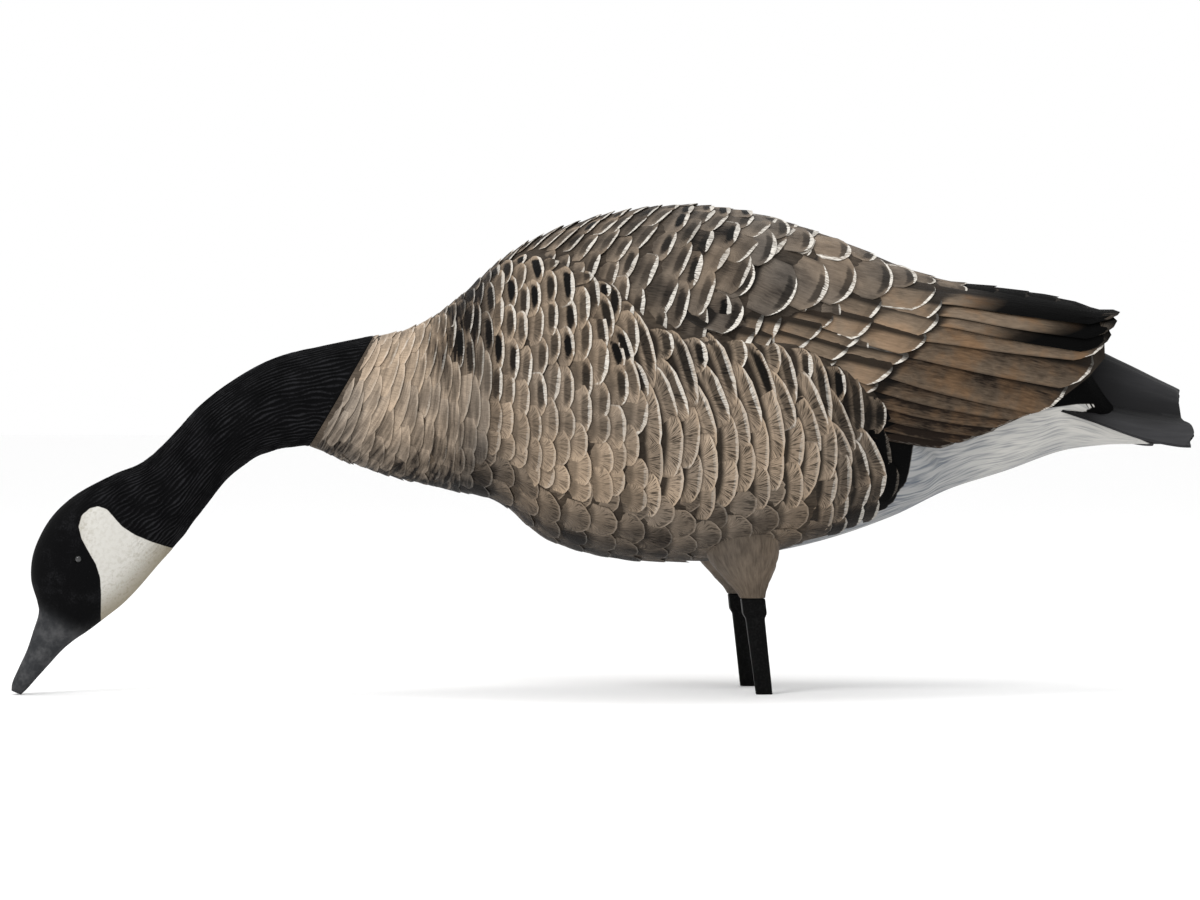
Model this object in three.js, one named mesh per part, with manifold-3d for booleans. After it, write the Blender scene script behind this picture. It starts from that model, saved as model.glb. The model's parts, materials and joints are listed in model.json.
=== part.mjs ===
// A feeding goose decoy: a moulded, painted body with folded wings, a separate flocked
// head and neck, and two flat legs that plug into the thighs. Millimetres, +Z up.
// The head points to -X, the tail to +X, and the goose's left side faces -Y.
// It stands on three points: the two leg ends and the tip of the bill.

import * as THREE from 'three';
import { mergeVertices } from 'three/addons/utils/BufferGeometryUtils.js';
import Module from 'manifold-3d';

// Driving sizes. The pose, outline and feather layout are thousandths of LENGTH.
const LENGTH = 870; // tip of the bill to the end of the tail
const BODY_WIDTH = 260; // across the folded wings
const HEAD_WIDTH = 54; // across the cheeks
const JOINT_GAP = 0.3; // between the neck and the body, and between a leg and its thigh
const LEG_SPACING = 80; // between the middles of the two legs where they meet the thighs
const LEG_SPLAY = 8; // how much further out each leg is at its foot
const LEG_WIDTH = 14; // along the body, under the collar
const LEG_THICKNESS = 8; // across the body
const LEG_CHAMFER = 2; // on the leg's four long edges
const COLLAR_HEIGHT = 11; // thick top of a leg
const COLLAR_LIP = 1.8; // how far the collar stands out from the leg
const COLLAR_TAPER = 4; // height over which the lip runs out
const THIGH_LENGTH = 66; // along the body, inside the belly
const THIGH_THICKNESS = 60; // across the body, inside the belly
const THIGH_LIP = 0.6; // how far the thigh's end stands out from the leg's collar
const FEATHER_STEP = 2.6; // rise of a body feather's edge over the next row
const FLANK_LIP = 4.5; // how far the flank feathers stand over the wing
const WING_RISE = 5; // how far the folded wing stands over the rump
const QUILL_STEP = 4; // rise of a long wing feather's lower edge
const QUILL_DEPTH = 3.5; // how deep a long wing feather sits in the wing
const TAIL_SPREAD = 132; // across the end of the tail
const TAIL_THICKNESS = 7; // tail feathers, top to underside
const EYE_RADIUS = 5; // ball of the eye
const EYE_DEPTH = 2.8; // how deep the middle of the eye lies in the head

// Side outlines, each row [top along, top up, bottom along, bottom up, half width].
// The body's half widths are shares of half of BODY_WIDTH, the head's of half of HEAD_WIDTH.
const TORSO = [
  [-194.7, 302.8, -249.0, 209.3, 0.235],
  [-170.1, 307.0, -210.8, 193.2, 0.32],
  [-144.6, 318.9, -170.1, 180.5, 0.4],
  [-114.9, 341.8, -127.6, 171.1, 0.5],
  [-80.9, 371.5, -87.7, 160.9, 0.65],
  [-42.7, 391.9, -46.9, 129.5, 0.82],
  [8.3, 407.2, 8.3, 113.4, 0.94],
  [67.7, 414.0, 67.7, 110.8, 1.0],
  [127.2, 408.1, 127.2, 115.5, 0.985],
  [186.6, 391.1, 186.6, 127.4, 0.915],
  [246.1, 367.3, 246.1, 147.3, 0.79],
  [297.0, 344.4, 297.0, 171.1, 0.66],
  [348.0, 329.1, 348.0, 187.3, 0.54],
  [394.7, 306.2, 394.7, 203.8, 0.43],
  [432.9, 272.2, 432.9, 209.3, 0.33],
  [456.7, 244.6, 458.4, 210.2, 0.22],
  [484.0, 246.0, 487.0, 210.0, 0.13],
];
const NECK = [
  [-239.7, 294.3, -261.8, 208.5, 1.02],
  [-287.3, 280.7, -279.6, 205.1, 0.93],
  [-335.7, 249.3, -297.5, 197.5, 0.87],
  [-361.1, 222.9, -319.5, 179.6, 0.85],
  [-386.6, 198.3, -344.2, 148.2, 0.87],
  [-409.6, 187.7, -356.1, 132.1, 0.93],
  [-431.6, 177.1, -368.8, 117.6, 0.98],
  [-452.0, 163.9, -381.5, 103.2, 1.0],
  [-469.0, 145.6, -395.1, 87.5, 0.98],
  [-480.9, 121.0, -407.0, 75.6, 0.93],
  [-483.4, 98.1, -418.9, 66.2, 0.8],
  [-478.3, 78.6, -435.0, 53.9, 0.61],
  [-477.1, 68.4, -446.9, 45.9, 0.51],
  [-481.7, 53.1, -457.1, 37.4, 0.46],
  [-486.8, 37.8, -467.7, 25.9, 0.41],
  [-493.6, 22.9, -477.9, 14.6, 0.35],
  [-499.0, 10.6, -486.8, 4.6, 0.28],
  [-500.0, 3.4, -491.9, 0.0, 0.15],
];
// Folded wings over the rump: [along, top, centre, half width, lower edge].
const WING = [
  [212.1, 379.9, 257.3, 0.86, 216.0],
  [254.6, 363.1, 257.7, 0.78, 214.4],
  [297.0, 350.5, 255.2, 0.69, 216.0],
  [339.5, 345.8, 258.6, 0.58, 232.0],
  [382.0, 339.3, 268.8, 0.47, 250.0],
  [409.0, 333.0, 276.0, 0.37, 268.0],
  [426.0, 326.0, 282.0, 0.28, 284.0],
];
// Long wing feathers from the back down: [root along, root up, tip along, tip up, width].
const QUILLS = [
  [280.0, 338.3, 443.9, 315.6, 23.0],
  [280.0, 328.5, 438.0, 305.5, 24.0],
  [280.0, 319.7, 431.2, 295.1, 23.0],
  [258.8, 310.1, 426.8, 290.9, 25.0],
  [254.6, 299.1, 413.2, 271.5, 31.0],
  [237.6, 283.8, 387.7, 252.1, 34.0],
  [230.8, 266.9, 364.0, 242.8, 24.0],
  [227.4, 254.9, 345.3, 236.0, 21.0],
  [224.0, 245.6, 330.0, 229.0, 19.0],
  [220.6, 237.1, 311.3, 223.2, 17.0],
  [218.9, 229.4, 292.6, 218.1, 15.0],
];
// Tail feathers: [along, ridge up, crease up, edge up, share of the tail's spread].
const TAIL = [
  [361.0, 306.0, 270.0, 250.0, 0.6],
  [411.7, 297.7, 255.0, 241.6, 0.72],
  [449.9, 281.5, 243.0, 217.0, 0.86],
  [482.0, 266.0, 237.0, 211.0, 0.96],
  [500.0, 257.6, 234.0, 211.0, 1.0],
];
const TAIL_NOTCH = 5.5; // how far the feather ends step back at the crease
const TAIL_CORNER = 9; // how far they step back at the fan's corners
// Thigh from the belly down: [along, up, how much is left of its growth over the collar].
const THIGH = [
  [112.0, 150.0, 1.0],
  [116.1, 114.2, 0.68],
  [119.6, 98.0, 0.34],
  [122.4, 88.0, 0.1],
  [124.0, 81.0, 0.0],
];
const LEG_FOOT_ALONG = 132.7; // where a leg meets the ground
const EYE = [-442.7, 115.1]; // middle of the eye, along and up

// Feather rows of the body, counted in stations of TORSO.
const FIRST_ROW = 0.7;
const ROW_PITCH = 0.54;
const ROW_COUNT = 18;
const SUNK = 0.4; // share of a feather's step that lies below the outline
const SCALLOP = 0.2; // how far a feather's middle reaches behind its corners
const EDGE_DROP = 0.05; // run of the drop behind a feather's edge
const FEATHERS_AROUND = 14;
const COLUMNS_PER_FEATHER = 4;
const BACK_SLANT = 0.95; // how far the rows lean to the tail on top of the back
// Upper border of the flank feathers: [station, share of the half turn from the top].
const FLANK_LINE = [[4.2, 0.1], [5.2, 0.25], [5.7, 0.3], [6.5, 0.41], [7.4, 0.435], [8.4, 0.43],
  [9.0, 0.46], [9.7, 0.53], [10.2, 0.62], [10.6, 0.72]];
// The belly and rump are smooth behind this line: [share of the half turn, station].
const RUMP_LINE = [[0.6, 10.6], [0.68, 10.2], [0.86, 9.2], [1.0, 8.3]];
const FULLNESS = 0.94; // below 1 the oval sections are a little squarer
const NO_ROW = -1; // a ring without feather edges

const across = LENGTH / 1000;
const bodyHalf = BODY_WIDTH / 2 - FLANK_LIP - FEATHER_STEP;
const headHalf = HEAD_WIDTH / 2;
const wasm = await Module();
wasm.setup();

function clamp(value, low, high) {
  return Math.min(Math.max(value, low), high);
}

function smooth(low, high, value) {
  const t = clamp((value - low) / (high - low), 0, 1);
  return t * t * (3 - 2 * t);
}

// Straight-line reading of a table of [key, value, ...] rows.
function readTable(rows, key) {
  const last = rows.length - 1;
  let i = 0;
  while (i < last - 1 && key > rows[i + 1][0]) i += 1;
  const t = clamp((key - rows[i][0]) / (rows[i + 1][0] - rows[i][0]), 0, 1);
  return rows[i].map((value, k) => value + (rows[i + 1][k] - value) * t);
}

// Smooth curve through all rows, read at a fractional station.
function readCurve(rows, station) {
  const last = rows.length - 1;
  const s = clamp(station, 0, last);
  const i = Math.min(Math.floor(s), last - 1);
  const t = s - i;
  const before = rows[Math.max(i - 1, 0)];
  const after = rows[Math.min(i + 2, last)];
  return rows[i].map((value, k) => {
    const next = rows[i + 1][k];
    const enter = (next - before[k]) / 2;
    const leave = (after[k] - value) / 2;
    const t2 = t * t;
    const t3 = t2 * t;
    return value * (2 * t3 - 3 * t2 + 1) + enter * (t3 - 2 * t2 + t)
      + next * (3 * t2 - 2 * t3) + leave * (t3 - t2);
  });
}

function place(along, side, up) {
  return new THREE.Vector3(along * across, side, up * across);
}

// One point of an oval section that is drawn between a top and a bottom point.
function sectionPoint(row, halfWidth, angle, lift) {
  const top = place(row[0], 0, row[1]);
  const bottom = place(row[2], 0, row[3]);
  const centre = top.clone().add(bottom).multiplyScalar(0.5);
  const half = top.clone().sub(bottom).multiplyScalar(0.5);
  const height = half.length();
  const c = Math.sign(Math.cos(angle)) * Math.abs(Math.cos(angle)) ** FULLNESS;
  const s = Math.sign(Math.sin(angle)) * Math.abs(Math.sin(angle)) ** FULLNESS;
  const outward = new THREE.Vector2(c / height, s / halfWidth).normalize();
  return centre.addScaledVector(half, c + (outward.x * lift) / height)
    .add(new THREE.Vector3(0, s * halfWidth + outward.y * lift, 0));
}

// Closed skin over a row of rings that all have the same number of points.
function loft(rings) {
  const count = rings[0].length;
  const points = rings.flat();
  const faces = [];
  for (let r = 0; r < rings.length - 1; r += 1) {
    for (let k = 0; k < count; k += 1) {
      const a = r * count + k;
      const b = r * count + ((k + 1) % count);
      faces.push(a, b, b + count, a, b + count, a + count);
    }
  }
  const ends = [[0, false], [rings.length - 1, true]];
  ends.forEach(([r, flip]) => {
    const middle = new THREE.Vector3();
    rings[r].forEach((point) => middle.addScaledVector(point, 1 / count));
    const hub = points.push(middle) - 1;
    for (let k = 0; k < count; k += 1) {
      const a = r * count + k;
      const b = r * count + ((k + 1) % count);
      faces.push(hub, flip ? a : b, flip ? b : a);
    }
  });
  return facingOut(points, faces);
}

// Turns the faces round if they enclose a negative volume.
function facingOut(points, faces) {
  let volume = 0;
  for (let f = 0; f < faces.length; f += 3) {
    const a = points[faces[f]];
    const b = points[faces[f + 1]];
    const c = points[faces[f + 2]];
    volume += a.dot(b.clone().cross(c));
  }
  if (volume < 0) faces.reverse();
  const geometry = new THREE.BufferGeometry();
  geometry.setFromPoints(points);
  geometry.setIndex(faces);
  return geometry;
}

function toSolid(geometry) {
  const bare = geometry.clone();
  bare.deleteAttribute('normal');
  bare.deleteAttribute('uv');
  const merged = mergeVertices(bare);
  const mesh = new wasm.Mesh({
    numProp: 3,
    vertProperties: new Float32Array(merged.attributes.position.array),
    triVerts: new Uint32Array(merged.index.array),
  });
  return new wasm.Manifold(mesh);
}

function join(geometries) {
  let solid = toSolid(geometries[0]);
  geometries.slice(1).forEach((geometry) => {
    solid = solid.add(toSolid(geometry));
  });
  const mesh = solid.getMesh();
  const joined = new THREE.BufferGeometry();
  joined.setAttribute('position', new THREE.BufferAttribute(new Float32Array(mesh.vertProperties), 3));
  joined.setIndex(new THREE.BufferAttribute(new Uint32Array(mesh.triVerts), 1));
  return joined;
}

// How much of the feather relief shows at a station and a share of the half turn.
function relief(station, turn) {
  const belly = 1 - smooth(0.8, 0.95, turn);
  const front = 0.45 + 0.55 * smooth(1, 5, station);
  const inFront = station < readTable(RUMP_LINE, turn)[1] ? 1 : 0;
  return belly * front * (turn > RUMP_LINE[0][0] ? inFront : 1);
}

function flankLift(station, turn) {
  const border = readTable(FLANK_LINE, station)[1];
  const inside = smooth(border - 0.01, border + 0.03, turn);
  const fadeDown = 1 - smooth(border + 0.05, border + 0.3, turn);
  const fadeAlong = smooth(4, 5.5, station) * (1 - smooth(10.4, 10.7, station));
  return FLANK_LIP * inside * fadeDown * fadeAlong;
}

// The rows lean back towards the top of the back, and stand upright on the flank.
function leaningStation(station, turn) {
  const border = readTable(FLANK_LINE, station)[1];
  const onBack = 1 - smooth(0, border + 0.05, turn);
  const last = TORSO.length - 1;
  const room = smooth(2.5, 5, station) * (1 - smooth(10.4, last, station));
  return station + BACK_SLANT * onBack * room;
}

function torsoRing(station, row, atEdge) {
  const columns = FEATHERS_AROUND * COLUMNS_PER_FEATHER;
  const ring = [];
  for (let k = 0; k < columns; k += 1) {
    const angle = (k / columns) * 2 * Math.PI;
    const turn = Math.min(k, columns - k) / (columns / 2);
    const stagger = row % 2 === 0 ? 0 : COLUMNS_PER_FEATHER / 2;
    const phase = ((k + stagger) % COLUMNS_PER_FEATHER) / COLUMNS_PER_FEATHER;
    const reach = row === NO_ROW ? 0 : SCALLOP * Math.sin(Math.PI * phase) ** 0.7;
    const drop = row === NO_ROW || atEdge ? 0 : EDGE_DROP;
    const s = leaningStation(station, turn) + (reach + drop) * relief(station, turn);
    const values = readCurve(TORSO, s);
    const step = FEATHER_STEP * ((atEdge ? 1 : 0) - (row === NO_ROW ? 0 : SUNK));
    const lift = step * relief(s - drop, turn) + flankLift(s, turn);
    ring.push(sectionPoint(values, values[4] * bodyHalf, angle, lift));
  }
  return ring;
}

function buildTorso() {
  const rings = [torsoRing(0, NO_ROW, false), torsoRing(FIRST_ROW / 2, NO_ROW, false)];
  for (let row = 0; row < ROW_COUNT; row += 1) {
    const station = FIRST_ROW + row * ROW_PITCH;
    rings.push(torsoRing(station, row, true), torsoRing(station, row, false));
  }
  const end = FIRST_ROW + ROW_COUNT * ROW_PITCH;
  const last = TORSO.length - 1;
  const plainRings = 7;
  for (let k = 0; k < plainRings; k += 1) {
    rings.push(torsoRing(end + ((last - end) * k) / (plainRings - 1), NO_ROW, false));
  }
  return loft(rings);
}

// A point on the folded wing at a side-view place, with the outward direction there.
function onWing(along, up, side, lift) {
  const [, top, centre, halfWidth] = readTable(WING, along);
  const height = (top - centre) * across;
  const width = halfWidth * bodyHalf;
  const c = clamp((up - centre) / (top - centre), -1, 1);
  const s = Math.sqrt(1 - c * c);
  const outward = new THREE.Vector2(s / width, c / height).normalize();
  const rise = WING_RISE * smooth(0, 0.4, 1 - c) * smooth(WING[0][0], WING[2][0], along);
  const out = lift + rise;
  const point = place(along, side * (s * width + outward.x * out), centre);
  point.z += c * height + outward.y * out;
  return point;
}

function buildWings() {
  const steps = 9;
  const rings = WING.map(([along, top, centre, , lower], i) => {
    const low = Math.acos(clamp((lower - centre) / (top - centre), -1, 1));
    const sink = i === 0 ? -QUILL_DEPTH : 0;
    const ring = [];
    for (let k = -steps; k <= steps; k += 1) {
      const up = centre + (top - centre) * Math.cos((low * k) / steps);
      const groove = k === 0 ? -QUILL_STEP : 0;
      ring.push(onWing(along, up, Math.sign(k), sink + groove));
    }
    return ring;
  });
  return loft(rings);
}

// A long feather lies on the wing, low at its upper edge and proud at its lower one.
function buildQuill([rootAlong, rootUp, tipAlong, tipUp, width], side) {
  const outline = [[0, 0.75], [0.3, 0.95], [0.65, 1.0], [0.92, 0.7], [1, 0.25]];
  const slope = Math.atan2(tipUp - rootUp, tipAlong - rootAlong);
  const rings = outline.map(([t, share]) => {
    const along = rootAlong + (tipAlong - rootAlong) * t;
    const up = rootUp + (tipUp - rootUp) * t;
    const half = (width / 2) * share;
    const rise = QUILL_STEP * smooth(0, 0.3, t);
    const corners = [
      [1, 0.15 * rise], [0, 0.8 * rise], [-1, rise],
      [-1, -QUILL_DEPTH], [0, -QUILL_DEPTH], [1, -QUILL_DEPTH],
    ];
    return corners.map(([v, lift]) => (
      onWing(along - Math.sin(slope) * v * half, up + Math.cos(slope) * v * half, side, lift)
    ));
  });
  return loft(rings);
}

// The tail is a fan with a ridge, a crease on each side and feather ends that step back.
function buildTail() {
  const profile = [0, 0.18, 0.34, 0.45, 0.5, 0.56, 0.7, 0.86, 1];
  const rings = TAIL.map(([along, ridge, crease, edge, share], i) => {
    const half = (TAIL_SPREAD / 2) * share;
    const upper = [];
    const lower = [];
    for (let k = 1 - profile.length; k < profile.length; k += 1) {
      const v = profile[Math.abs(k)];
      const inner = ridge - (ridge - crease) * (v / 0.5) ** 2;
      const outer = crease - (crease - edge) * (Math.max(v - 0.5, 0) / 0.5) ** 1.4;
      const up = v <= 0.5 ? inner : outer;
      const atEnd = i === TAIL.length - 1;
      const notch = atEnd && v === 0.5 ? TAIL_NOTCH : 0;
      const corner = atEnd && v === 1 ? TAIL_CORNER : 0;
      const point = place(along - notch - corner, Math.sign(k) * v * half, up);
      upper.push(point);
      lower.unshift(point.clone().add(new THREE.Vector3(0, 0, -TAIL_THICKNESS)));
    }
    return [...upper, ...lower];
  });
  return loft(rings);
}

function buildThigh(side) {
  const endX = LEG_WIDTH / 2 + COLLAR_LIP + THIGH_LIP;
  const endY = LEG_THICKNESS / 2 + COLLAR_LIP + THIGH_LIP;
  const sides = 14;
  return loft(THIGH.map(([along, up, growth]) => {
    const halfX = endX + (THIGH_LENGTH / 2 - endX) * growth;
    const halfY = endY + (THIGH_THICKNESS / 2 - endY) * growth;
    const ring = [];
    for (let k = 0; k < sides; k += 1) {
      const angle = (k / sides) * 2 * Math.PI;
      const point = place(along, (side * LEG_SPACING) / 2 + halfY * Math.sin(angle), up);
      point.x += halfX * Math.cos(angle);
      ring.push(point);
    }
    return ring;
  }));
}

// Half width of the head where a section passes through a side-view place.
function headSideAt([along, up]) {
  let best = { miss: Infinity, side: 0 };
  for (let station = 0; station < NECK.length - 1; station += 0.02) {
    const [topA, topU, lowA, lowU, share] = readCurve(NECK, station);
    const length = Math.hypot(topA - lowA, topU - lowU);
    const miss = Math.abs((topA - lowA) * (up - lowU) - (topU - lowU) * (along - lowA)) / length;
    const toTop = ((along - lowA) * (topA - lowA) + (up - lowU) * (topU - lowU)) / length ** 2;
    const side = share * headHalf * Math.sqrt(Math.max(1 - (2 * toTop - 1) ** 2, 0));
    if (miss < best.miss) best = { miss, side };
  }
  return best.side;
}

function buildEye(side) {
  const ball = new THREE.SphereGeometry(EYE_RADIUS, 10, 6);
  const middle = place(EYE[0], side * (headSideAt(EYE) - EYE_DEPTH), EYE[1]);
  return ball.translate(middle.x, middle.y, middle.z);
}

function buildHeadAndNeck() {
  // The first ring lies along the body's joint face, a gap in front of it.
  const [topAlong, topUp, bottomAlong, bottomUp, halfWidth] = TORSO[0];
  const slope = Math.atan2(topUp - bottomUp, topAlong - bottomAlong);
  const shift = JOINT_GAP / across;
  const da = -Math.sin(slope) * shift;
  const du = Math.cos(slope) * shift;
  const share = (halfWidth * bodyHalf) / headHalf;
  const first = [topAlong + da, topUp + du, bottomAlong + da, bottomUp + du, share];
  const rows = [first, ...NECK];
  const columns = 16;
  const steps = 2;
  const rings = [];
  for (let k = 0; k <= (rows.length - 1) * steps; k += 1) {
    const values = readCurve(rows, k / steps);
    const ring = [];
    for (let c = 0; c < columns; c += 1) {
      const angle = (c / columns) * 2 * Math.PI;
      ring.push(sectionPoint(values, values[4] * headHalf, angle, 0));
    }
    rings.push(ring);
  }
  return join([loft(rings), buildEye(-1), buildEye(1)]);
}

// A flat bar with chamfered corners, thicker at the collar under the thigh.
function buildLeg(side) {
  const [thighAlong, thighUp] = THIGH[THIGH.length - 1];
  const top = thighUp - JOINT_GAP / across;
  const collar = top - COLLAR_HEIGHT / across;
  const taper = collar - COLLAR_TAPER / across;
  const slope = (thighAlong - LEG_FOOT_ALONG) / thighUp;
  const levels = [
    [top, COLLAR_LIP], [collar, COLLAR_LIP], [taper, 0], [0, -COLLAR_LIP / 2],
  ];
  return loft(levels.map(([up, lip]) => {
    const along = LEG_FOOT_ALONG + slope * up;
    const y = side * (LEG_SPACING / 2 + LEG_SPLAY * (1 - up / thighUp));
    const halfX = LEG_WIDTH / 2 + lip;
    const halfY = LEG_THICKNESS / 2 + lip;
    const cut = LEG_CHAMFER;
    const corners = [
      [halfX, cut - halfY], [halfX, halfY - cut], [halfX - cut, halfY], [cut - halfX, halfY],
      [-halfX, halfY - cut], [-halfX, cut - halfY], [cut - halfX, -halfY], [halfX - cut, -halfY],
    ];
    return corners.map(([dx, dy]) => place(along, y + dy, up).add(new THREE.Vector3(dx, 0, 0)));
  }));
}

function finish(colour, roughness) {
  return new THREE.MeshStandardMaterial({ color: colour, roughness, metalness: 0 });
}

function named(name, geometry, material) {
  geometry.computeVertexNormals();
  const mesh = new THREE.Mesh(geometry, material);
  mesh.name = name;
  return mesh;
}

function buildBody() {
  const pieces = [buildTorso(), buildWings(), buildTail()];
  [-1, 1].forEach((side) => {
    pieces.push(buildThigh(side));
    QUILLS.forEach((quill) => pieces.push(buildQuill(quill, side)));
  });
  return join(pieces);
}

const goose = new THREE.Group();
goose.add(named('body', buildBody(), finish(0x8d7b6a, 0.62)));
goose.add(named('head_and_neck', buildHeadAndNeck(), finish(0x17171a, 0.9)));
goose.add(named('leg_left', buildLeg(-1), finish(0x0b0b0b, 0.5)));
goose.add(named('leg_right', buildLeg(1), finish(0x0b0b0b, 0.5)));

export default goose;
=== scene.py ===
"""Dressed model of a feeding goose decoy: painted body, flocked head and neck, flat legs."""

import json
import logging
import math
from dataclasses import dataclass, field, replace
from enum import Enum
from typing import Sequence

import bpy
import numpy as np
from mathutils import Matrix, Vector

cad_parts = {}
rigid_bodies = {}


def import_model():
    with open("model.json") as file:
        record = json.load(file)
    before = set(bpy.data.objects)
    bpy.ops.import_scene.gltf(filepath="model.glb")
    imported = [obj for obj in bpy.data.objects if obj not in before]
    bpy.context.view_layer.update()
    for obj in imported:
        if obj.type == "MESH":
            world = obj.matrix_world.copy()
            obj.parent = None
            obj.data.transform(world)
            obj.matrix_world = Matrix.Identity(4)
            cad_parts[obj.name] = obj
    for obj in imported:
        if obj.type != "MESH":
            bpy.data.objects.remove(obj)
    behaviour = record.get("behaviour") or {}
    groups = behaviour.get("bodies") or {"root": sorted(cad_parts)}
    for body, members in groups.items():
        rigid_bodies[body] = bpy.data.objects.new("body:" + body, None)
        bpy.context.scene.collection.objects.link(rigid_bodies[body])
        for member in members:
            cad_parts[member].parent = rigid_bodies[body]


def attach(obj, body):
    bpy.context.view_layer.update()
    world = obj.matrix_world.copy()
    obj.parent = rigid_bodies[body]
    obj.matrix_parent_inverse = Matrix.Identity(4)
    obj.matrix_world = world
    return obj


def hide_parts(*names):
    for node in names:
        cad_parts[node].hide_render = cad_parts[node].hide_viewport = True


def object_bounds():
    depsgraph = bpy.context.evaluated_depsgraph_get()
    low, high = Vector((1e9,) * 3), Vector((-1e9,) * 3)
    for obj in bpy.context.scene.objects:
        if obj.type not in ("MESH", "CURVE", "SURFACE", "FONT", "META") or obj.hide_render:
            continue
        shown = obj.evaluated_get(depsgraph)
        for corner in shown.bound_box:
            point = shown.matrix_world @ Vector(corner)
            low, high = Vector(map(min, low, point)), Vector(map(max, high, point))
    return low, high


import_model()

Colour = tuple[float, float, float, float]
Triple = tuple[float, float, float]
LOG = logging.getLogger("goose_decoy")
MM = 0.001
CAD_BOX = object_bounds()
LENGTH = CAD_BOX[1][0] - CAD_BOX[0][0]
PER_MILLE = LENGTH / 1000
BODY_WIDTH = 260 * MM
HEAD_WIDTH = 54 * MM
JOINT_GAP = 0.3 * MM
FLANK_LIP = 4.5 * MM
FEATHER_STEP = 2.6 * MM
WING_RISE = 5 * MM
TAIL_SPREAD = 132 * MM
TAIL_THICKNESS = 7 * MM
LEG_WIDTH = 14 * MM
LEG_THICKNESS = 8 * MM
LEG_SPACING = 80 * MM
COLLAR_LIP = 1.8 * MM
BODY_HALF = BODY_WIDTH / 2 - FLANK_LIP - FEATHER_STEP
HEAD_HALF = HEAD_WIDTH / 2
FULLNESS = 0.94
BACK_SLANT = 0.95
FLANK_SLANT = 0.42
POCKET_DEPTH = 2.5 * MM
# Stations of the torso where the groups of feathers change.
BREAST_END = 3.7
BORDER_FROM = 4.3
SHOULDER_END = 6.3
BLACK_FROM = 9.74
# Share of a feather's length that none reaches.
NEVER_BLACK = 9.0
# Millimetres that stand for a place far from any edge or tip.
FAR = 20.0
# Pixels of the photograph, and what one of them measures on the middle plane.
PHOTO_MIDDLE = 600.25
PHOTO_CENTRE = 450.0
PHOTO_GROUND = 692.5
PHOTO_SCALE = 0.7388 * MM
CAMERA_DISTANCE = 3.2
CAMERA_AZIMUTH = -5.0

# Side outlines in thousandths of the length: top along, top up, bottom along, bottom up, half width.
TORSO = np.array([
    (-194.7, 302.8, -249.0, 209.3, 0.235), (-170.1, 307.0, -210.8, 193.2, 0.32),
    (-144.6, 318.9, -170.1, 180.5, 0.4), (-114.9, 341.8, -127.6, 171.1, 0.5),
    (-80.9, 371.5, -87.7, 160.9, 0.65), (-42.7, 391.9, -46.9, 129.5, 0.82),
    (8.3, 407.2, 8.3, 113.4, 0.94), (67.7, 414.0, 67.7, 110.8, 1.0),
    (127.2, 408.1, 127.2, 115.5, 0.985), (186.6, 391.1, 186.6, 127.4, 0.915),
    (246.1, 367.3, 246.1, 147.3, 0.79), (297.0, 344.4, 297.0, 171.1, 0.66),
    (348.0, 329.1, 348.0, 187.3, 0.54), (394.7, 306.2, 394.7, 203.8, 0.43),
    (432.9, 252.0, 432.9, 209.3, 0.33), (456.7, 236.0, 458.4, 210.2, 0.22),
    (484.0, 232.0, 487.0, 210.0, 0.13),
])
NECK = np.array([
    (-239.7, 294.3, -261.8, 208.5, 1.02), (-287.3, 280.7, -279.6, 205.1, 0.93),
    (-335.7, 249.3, -297.5, 197.5, 0.87), (-361.1, 222.9, -319.5, 179.6, 0.85),
    (-386.6, 198.3, -344.2, 148.2, 0.87), (-409.6, 187.7, -356.1, 132.1, 0.93),
    (-431.6, 177.1, -368.8, 117.6, 0.98), (-452.0, 163.9, -381.5, 103.2, 1.0),
    (-469.0, 145.6, -395.1, 87.5, 0.98), (-480.9, 121.0, -407.0, 75.6, 0.93),
    (-483.4, 98.1, -418.9, 66.2, 0.8), (-478.3, 78.6, -435.0, 53.9, 0.61),
    (-477.1, 68.4, -446.9, 45.9, 0.51), (-481.7, 53.1, -457.1, 37.4, 0.46),
    (-486.8, 37.8, -467.7, 25.9, 0.41), (-493.6, 22.9, -477.9, 14.6, 0.35),
    (-499.0, 10.6, -486.8, 4.6, 0.28), (-500.0, 3.4, -491.9, 0.0, 0.15),
])
# Folded wings over the rump: along, top, centre, half width, lower edge. The first two rows
# follow the torso, where the scapulars lie.
WING = np.array([
    (67.7, 414.0, 262.4, 1.0, 262.0), (127.2, 408.1, 261.8, 0.985, 262.0),
    (186.6, 391.1, 259.3, 0.915, 262.0),
    (212.1, 379.9, 257.3, 0.86, 216.0), (254.6, 363.1, 257.7, 0.78, 214.4),
    (297.0, 350.5, 255.2, 0.69, 216.0), (339.5, 345.8, 258.6, 0.58, 232.0),
    (382.0, 339.3, 268.8, 0.47, 250.0), (409.0, 333.0, 276.0, 0.37, 268.0),
    (426.0, 326.0, 282.0, 0.28, 284.0),
])
# Long wing feathers from the back down: root along, root up, tip along, tip up, width.
WING_START = 212.1
WING_LOOSE = 297.0
QUILLS = (
    (280.0, 338.3, 443.9, 315.6, 23.0), (280.0, 328.5, 438.0, 305.5, 24.0),
    (280.0, 319.7, 431.2, 295.1, 23.0), (258.8, 310.1, 426.8, 290.9, 25.0),
    (254.6, 299.1, 413.2, 271.5, 31.0), (237.6, 283.8, 387.7, 252.1, 34.0),
    (230.8, 266.9, 364.0, 242.8, 24.0), (227.4, 254.9, 345.3, 236.0, 21.0),
    (224.0, 245.6, 330.0, 229.0, 19.0), (220.6, 237.1, 311.3, 223.2, 17.0),
    (218.9, 229.4, 292.6, 218.1, 15.0),
)
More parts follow.
